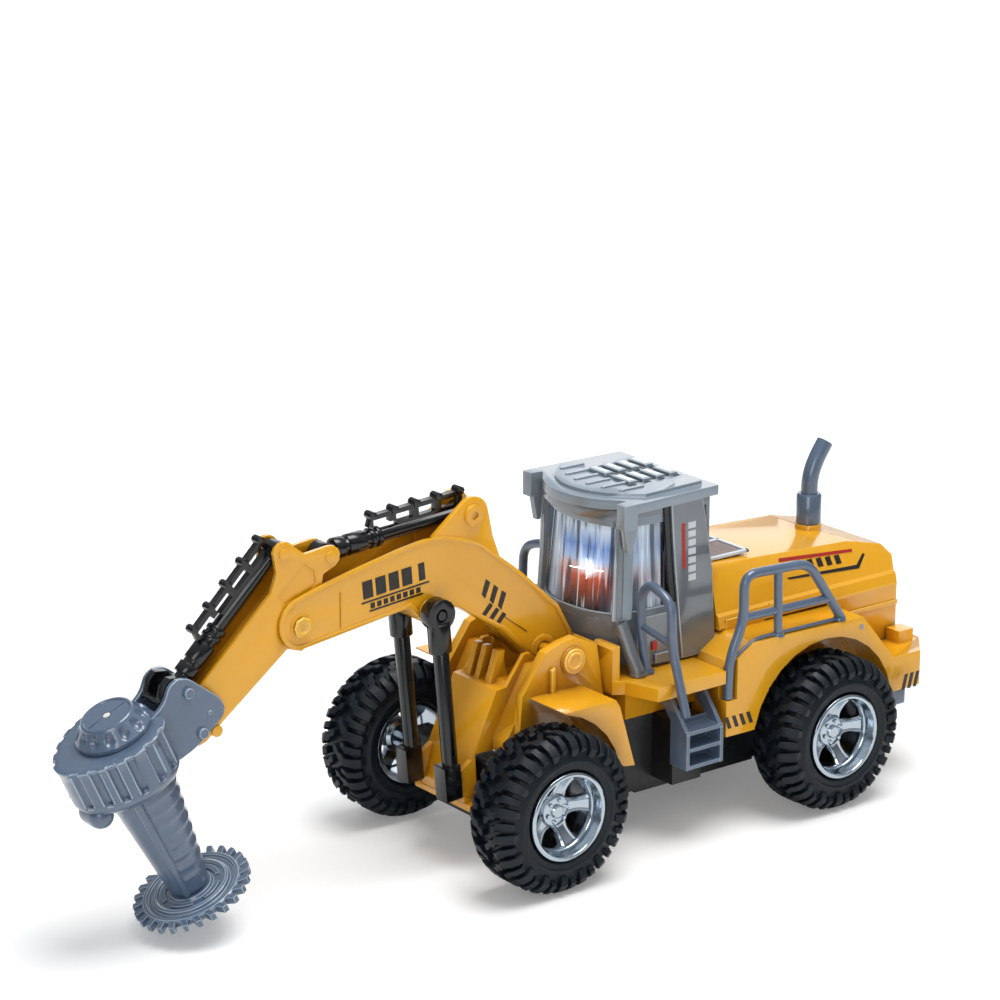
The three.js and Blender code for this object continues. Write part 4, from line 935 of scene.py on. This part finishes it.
def corner_tube(name, side):
    """The slanted tube at the cab's lower front corner, with its foot on the deck."""
    shape = Shape()
    foot = (12, side * 29, 64.2)
    shape.tube([(16.0, side * 23.6, 82.6), (14.2, side * 26.2, 73), foot], 2.75, 18)
    shape.drum((12.0, side * 29, 63.35), (0, 0, 1), 1.4, 3.3, 20)
    shape.done("corner_tube_" + name, smoke)


def cab():
    windscreen()
    cab_lining()
    cab_lamp()
    window_rims()
    for name, side in SIDES:
        cab_side(name, side)
        corner_tube(name, side)


def roof_details():
    """Front ribs, and two rows of raised frames with pale plates and dark slots between them."""
    crown = 130.0
    first_x, pitch, row_y = -20, 6.4, 7
    ribs = Shape()
    for i in range(6):
        y = -19 + 7.2 * i
        reach = 15.5 - 0.014 * y * y
        ribs.box((reach - 11, reach), (y - 0.7, y + 0.7), (crown - 0.5, crown + 0.7))
    plates = Shape()
    for i in range(4):
        x = first_x + pitch * i
        for y in (-row_y, row_y):
            ribs.box((x, x + 3.8), (y - 5, y + 5), (crown - 0.6, crown + 1.0))
            plates.box((x + 0.6, x + 3.2), (y - 4.2, y + 4.2), (crown + 0.8, crown + 1.15))
    slots = Shape()
    for i in range(3):
        x = first_x + 4.1 + pitch * i
        slots.box((x, x + 2), (-12, 12), (crown - 0.6, crown + 0.25))
    ribs.done("roof_ribs", roof_grey, round_by=0.3)
    slots.done("roof_slots", black, round_by=0.15)
    plates.done("roof_plates", decal_pale, round_by=0.1)


# ---------- rails, exhaust and vent
def fender_rail(name, side):
    y = side * 43
    shape = Shape()
    front = [(-19.4, y, 51.4), (-19.8, y, 66.4), (-26.4, y, 80.4)]
    top = [(-26.2, y, 97.6), (-57.6, y, 96.2), (-74.6, y, 71.9)]
    shape.tube(front + top, 1.85, corner=6)
    shape.tube([(-43.4, y, 71.3), (-42.8, y, 96.6)], 1.65)
    shape.tube([(-26.3, y, 81.2), (-68.4, y, 80.4)], 1.6)
    for x in (-43.4, -74.3):
        shape.drum((x, y, 70.75), (0, 0, 1), 1.3, 2.6, 20, 2.3)
    base = [(-74, y, 71.3), (-43.4, y, 71.7), (-31.5, y, 71.9), (-22.6, y, 66.6)]
    shape.tube(base, 0.75, 10, corner=5)
    shape.done("fender_rail_bars_" + name, slate, node="fender_rail_" + name)


def grab_rail(name, side):
    """The rail from the cab's corner up, outward and down to the steps."""
    x, foot_x = 8.6, 6.6
    inner_y, outer_y = side * 26.4, side * 44
    foot = (foot_x + 0.8, side * 29)
    inner = [(*foot, 63.2), (x, inner_y, 78), (x, inner_y, 93), (x, side * 31.4, 98.2)]
    outer = [(x, side * 43.4, 94), (x, outer_y, 77), (foot_x, side * 50, 52)]
    shape = Shape()
    shape.tube(inner + outer, 1.75, corner=6)
    shape.tube([(x, inner_y, 81), (x, side * 43.8, 78)], 1.3)
    shape.drum((*foot, 63.1), (0, 0, 1), 1.2, 2.5, 18)
    shape.done("grab_rail_bars_" + name, slate, node="grab_rail_" + name)


def rails():
    for name, side in SIDES:
        fender_rail(name, side)
        grab_rail(name, side)


def exhaust():
    stack_x = -97
    socket = [(2.6, 94.5), (4.8, 94.5), (4.8, 105.4), (4.2, 106.2), (3.3, 106.2), (2.6, 105)]
    shape = Shape()
    shape.spin(socket, 40, truck @ Matrix.Translation((stack_x, 0, 0)))
    path = [(stack_x, 0, 98), (-97.1, 0, 112), (-99.6, 0, 118.4), (-104.6, 0, 125.4)]
    shape.tube(path, 3.25, 28, corner=7)
    shape.done("exhaust_pipe", slate, node="exhaust_stack")
    # A black disc at the pipe's end stands in for the dark inside of its opening: painted shade.
    mouth = Shape()
    mouth.drum((-104.1, 0, 124.7), (-5, 0, 7), 0.95, 2.3, 24)
    mouth.done("exhaust_mouth", black)


def hood_vent():
    """The white frame with two fields of brown slats on top of the hood."""
    x0, x1, y1 = -51.3, -30.5, 17.3
    z0, z1 = 95.15, 96.4
    bar = 1.6
    rim = Shape()
    for x in (x0, x1 - bar):
        rim.box((x, x + bar), (-y1, y1), (z0, z1))
    for y in (-y1, -bar / 2, y1 - bar):
        rim.box((x0, x1), (y, y + bar), (z0, z1))
    rim.done("vent_frame", frame_white, node="hood_vent", round_by=0.3)
    slats = Shape()
    for i in range(4):
        x = x0 + 2.4 + 4.6 * i
        rings = []
        for y in (-y1 + 1, y1 - 1):
            foot = [(x, y, z0 + 0.1), (x + 3.6, y, z0 + 0.1)]
            rings.append(foot + [(x + 3.6, y, z0 + 0.5), (x, y, z0 + 1.0)])
        slats.loft(rings)
    slats.done("vent_slats", slat_brown, round_by=0.1)


def hood_side(name, side):
    """The upright seam and low step of the hood's side, and its raised front panel."""
    step = Shape()
    step.box((-54.2, -53.7), (side * 25.4, side * 26.75), (66, 77))
    step.plate([(-88, 65.8), (-90, 64), (-119.2, 64), (-119.2, 65.8)], side, 26.6, 27.9)
    step.done("hood_step_" + name, yellow, round_by=0.35)
    panel = Shape()
    panel.plate([(-31.4, 75.2), (-31.4, 66.6), (-50.6, 65.6), (-50.6, 75.2)], side, 26.9, 27.7)
    panel.done("hood_side_panel_" + name, yellow, round_by=0.35)


def rear_details():
    """The grille bars on the hood's back and the lamps in the bar below the bumper."""
    grille = Shape()
    for i in range(6):
        z = 58 + 3.6 * i
        grille.box((-120.1, -118.6), (-17, 17), (z, z + 1.6))
    grille.done("rear_grille", black, round_by=0.2)
    for name, material, side in (("red", lamp_red, 1), ("blue", lamp_blue, -1)):
        lens = Shape()
        for y in (side * 27, side * 22):
            lens.drum((-120.4, y, 33), (-1, 0, 0), 1.8, 1.8, 20, 1.4)
        lens.done("rear_lamp_" + name, material, round_by=0.2)


# ---------- markings
def slanted(x, z, length, height, lean):
    """A leaning bar in the side view."""
    return [(x, z), (x + length, z), (x + length + lean, z + height), (x + lean, z + height)]


def marking(name, outlines, side, level, material, body="chassis"):
    """Flat printed bars on a side face; level is the face's distance from the middle."""
    sunk, thick = 0.05, 0.12
    shape = Shape()
    for outline in outlines:
        shape.plate(outline, side, level - sunk, level + thick)
    shape.done(name, material, body)


def along_boom(u, v):
    """A point by the boom's straight upper run: u forward from the bend, v up from the middle line."""
    start, end = Vector((89.8, 111.0)), Vector((119.4, 108.4))
    direction = (end - start).normalized()
    up = Vector((-direction.y, direction.x))
    spot = start + direction * u + up * v
    return (spot.x, spot.y)


def boom_bar(u, v):
    """A bar in line with the boom; u and v are (low, high)."""
    return [along_boom(u[0], v[0]), along_boom(u[1], v[0]), along_boom(u[1], v[1]), along_boom(u[0], v[1])]


def boom_markings(name, side):
    face = 7.05
    bars = []
    for i, width in enumerate((2.6, 4.2, 4.2, 4.2, 4.2)):
        u = 1.5 + 5.6 * i
        bars.append(boom_bar((u, u + width), (-1.0, 5.4)))
    bars.append(boom_bar((0, 29), (-2.6, -2.0)))
    bars.append(boom_bar((3, 26), (-6.2, -5.6)))
    for i in range(8):
        u = 4 + 2.8 * i
        bars.append(boom_bar((u, u + 1.8), (-5.1, -3.2)))
    marking("boom_bars_" + name, bars, side, face, decal_black, "boom")
    dashes = []
    slope = math.radians(38)
    run, rise = math.cos(slope), math.sin(slope)
    for i in range(3):
        x, z = 64.6 - 3.6 * i, 104.6 - 2.8 * i
        top = [(x, z), (x - 2.4 * run, z - 2.4 * rise)]
        dashes.append(top + [(x + 0.4, z - 7.2), (x + 2.4 * run, z - 5.4)])
    for i in range(3):
        x, z = 63.0 - 3.0 * i, 95.4 - 2.3 * i
        dashes.append([(x + 3.6, z - 3.9), (x + 2.2, z - 5.0), (x - 1.5, z - 1.2), (x, z)])
    dashes.append([(57.2, 89.6), (56.6, 88.9), (46.0, 80.9), (46.4, 81.6)])
    marking("boom_dashes_" + name, dashes, side, face, decal_black, "boom")


def hood_markings(name, side):
    """Stripes that follow the leaning side of the hood."""
    low_z, low_y, lean = 77.2, 25.2, 0.2346

    def lay(title, outlines, material):
        shape = Shape()
        for outline in outlines:
            rings = []
            for lift in (-0.05, 0.14):
                rings.append([(x, side * (low_y - (z - low_z) * lean + lift), z) for x, z in outline])
            shape.loft(rings)
        shape.done(title + name, material)

    lay("hood_red_stripe_", [[(-62, 90.4), (-99, 87.6), (-99, 88.7), (-62, 91.8)]], decal_red)
    bars = [slanted(-93 + 4.6 * i, 84.4 + 0.32 * i, 2.6, 3.4, 1.0) for i in range(4)]
    swoosh = [(-65, 84.0), (-66, 83.2), (-101.4, 80.9), (-105.2, 85.6), (-104.2, 86.2), (-100.4, 82.4)]
    lay("hood_bars_", bars + [swoosh], decal_black)


def body_markings(name, side):
    front = [slanted(-30.2 + 3.5 * i, 40.4, 1.7, 4.6, 1.8) for i in range(4)]
    marking("fender_dashes_" + name, front, side, 45.0, decal_black)
    rear = [slanted(-108.8 + 3.0 * i, 38.8, 1.7, 6.0, -1.5) for i in range(3)]
    marking("bumper_dashes_" + name, rear, side, 50.0, decal_black)


def cab_markings(name, side):
    """A column of dashes and a stripe on the cab's side panel."""
    face = 26.1
    rows = [slanted(-17.4 + 0.08 * i, 93.4 + 3.35 * i, 3.5, 2.4, 0) for i in range(7)]
    marking("panel_dashes_" + name, rows, side, face, decal_pale)
    stripe = [(-12.6, 98.6), (-11.0, 98.6), (-10.2, 116), (-11.8, 116)]
    marking("panel_stripe_" + name, [stripe], side, face, decal_red)


def markings():
    for name, side in SIDES:
        boom_markings(name, side)
        hood_markings(name, side)
        body_markings(name, side)
        cab_markings(name, side)


# ---------- small hardware
def ear_boss(name, side):
    """The round boss on the ear that holds the boom's pin, and the ear's upright rib."""
    pin = truck.inverted() @ joint_place("boom_lift")
    shape = Shape()
    shape.drum((pin.x, side * 25.2, pin.z), (0, side, 0), 0.9, 5.0, 28, 4.6)
    shape.plate([(47.6, 62), (49.4, 62), (49.4, 72), (47.6, 73)], side, 24.2, 26)
    shape.done("ear_boss_" + name, yellow, round_by=0.35)


def lift_knuckle_cap(name, side):
    """The cap on the pin at the top of a lift cylinder."""
    foot = truck.inverted() @ joint_place("lift_barrel_swing_" + name)
    slide = Vector(joints["lift_rod_slide_" + name]["axis"])
    top = foot + slide * LIFT_CYLINDER_REACH
    shape = Shape()
    shape.drum((top.x, side * 13.2, top.z), (0, side, 0), 1.6, 2.0, 18, 1.7)
    shape.done("lift_knuckle_cap_" + name, black, "boom", round_by=0.2)


def boom_seam(name, side):
    shape = Shape()
    shape.box((127.2, 127.55), (side * 7.2, side * 7.42), (99.2, 112.2))
    shape.done("boom_seam_" + name, yellow, "boom")


def body_screw(name, side):
    shape = Shape()
    shape.drum((-84, side * 44.9, 66.4), (0, side, 0), 0.35, 1.0, 14)
    shape.done("body_screws_" + name, steel)


def hardware():
    for name, side in SIDES:
        ear_boss(name, side)
        lift_knuckle_cap(name, side)
        boom_seam(name, side)
        body_screw(name, side)


# ---------- studio
def floor_paint():
    """Pale paint that glows for the camera further out, so that the floor meets the white backdrop."""
    near, far = 0.4, 1.2
    paint = Paint("floor_paint")
    tone = paint.blend(paint.noise(4), "#F6F6F5", "#F1F1F0")
    paint.set(Base_Color=tone, Emission_Color=tone)
    seen = paint.node("ShaderNodeLightPath").outputs["Is Camera Ray"]
    away = paint.node("ShaderNodeVectorMath", {0: paint.coordinates}, operation="LENGTH")
    level = paint.span(away.outputs["Value"], 0.18, 1, near, far)
    backlight = paint.node("ShaderNodeMath", {0: seen, 1: level}, operation="MULTIPLY")
    paint.set(Emission_Strength=backlight.outputs["Value"])
    paint.set(Roughness=paint.span(paint.noise(30), 0.6, 0.8))
    return paint.material


def floor():
    half, thick = 4000, 2
    shape = Shape(Matrix.Scale(MM, 4))
    shape.box((-half, half), (-half, half), (-thick, 0))
    shape.solid("studio_floor", floor_paint())


def backdrop():
    """Soft light from above, dimmer below; the camera itself sees plain white."""
    world = bpy.data.worlds.new("studio")
    bpy.context.scene.world = world
    world.use_nodes = True
    shading = Nodes(world.node_tree)
    direction = shading.node("ShaderNodeTexCoord").outputs["Generated"]
    below, above = (0.16, 0.18, 0.2, 1), (0.95, 0.97, 1.0, 1)
    sky = shading.ramp(shading.part(direction, "Z"), ((0.0, below), (0.75, above)))
    seen = shading.node("ShaderNodeLightPath").outputs["Is Camera Ray"]
    background = world.node_tree.nodes["Background"]
    shading.feed(background.inputs["Color"], shading.blend(seen, sky, (2, 2, 2, 1)))
    shading.feed(background.inputs["Strength"], 0.5)


def lights():
    """Three soft panels, in metres and watts, aimed at the truck's middle."""
    panels = (
        ("key", (-0.1, 0.25, 1.5), 0.9, 19),
        ("front", (1.1, 1.1, 0.6), 0.7, 5),
        ("back", (-1.1, -1.3, 0.62), 1.1, 4.5),
    )
    aim = Vector((0, 0, 0.06))
    for name, spot, size, power in panels:
        lamp = bpy.data.lights.new(name, "AREA")
        lamp.size = size
        lamp.energy = power
        light = bpy.data.objects.new(name, lamp)
        light.location = spot
        light.visible_camera = False
        light.rotation_euler = (aim - Vector(spot)).to_track_quat("-Z", "Y").to_euler()
        bpy.context.scene.collection.objects.link(light)


def camera():
    """The photo's viewing angle; azimuth is measured from the truck's forward direction."""
    azimuth, elevation = math.radians(52.673), math.radians(16.561)
    aim = Vector((-0.0038, -0.0003, 0.1301))
    distance = 1.18
    level = math.cos(elevation)
    away = Vector((level * math.cos(azimuth), level * math.sin(azimuth), math.sin(elevation)))
    data = bpy.data.cameras.new("camera")
    data.lens = 118.87
    data.sensor_width = 36
    data.clip_start = 0.01
    piece = bpy.data.objects.new("camera", data)
    piece.location = aim + away * distance
    piece.rotation_euler = away.to_track_quat("Z", "Y").to_euler()
    bpy.context.scene.collection.objects.link(piece)
    bpy.context.scene.camera = piece
    bpy.context.scene.view_settings.view_transform = "Standard"


dress_frame()
wheels()
tool_housing()
housing_bumps()
motor_cap()
spindle()
saw()
cab()
roof_details()
rails()
exhaust()
hood_vent()
for side_name, side_sign in SIDES:
    hood_side(side_name, side_sign)
rear_details()
markings()
hardware()
floor()
backdrop()
lights()
camera()
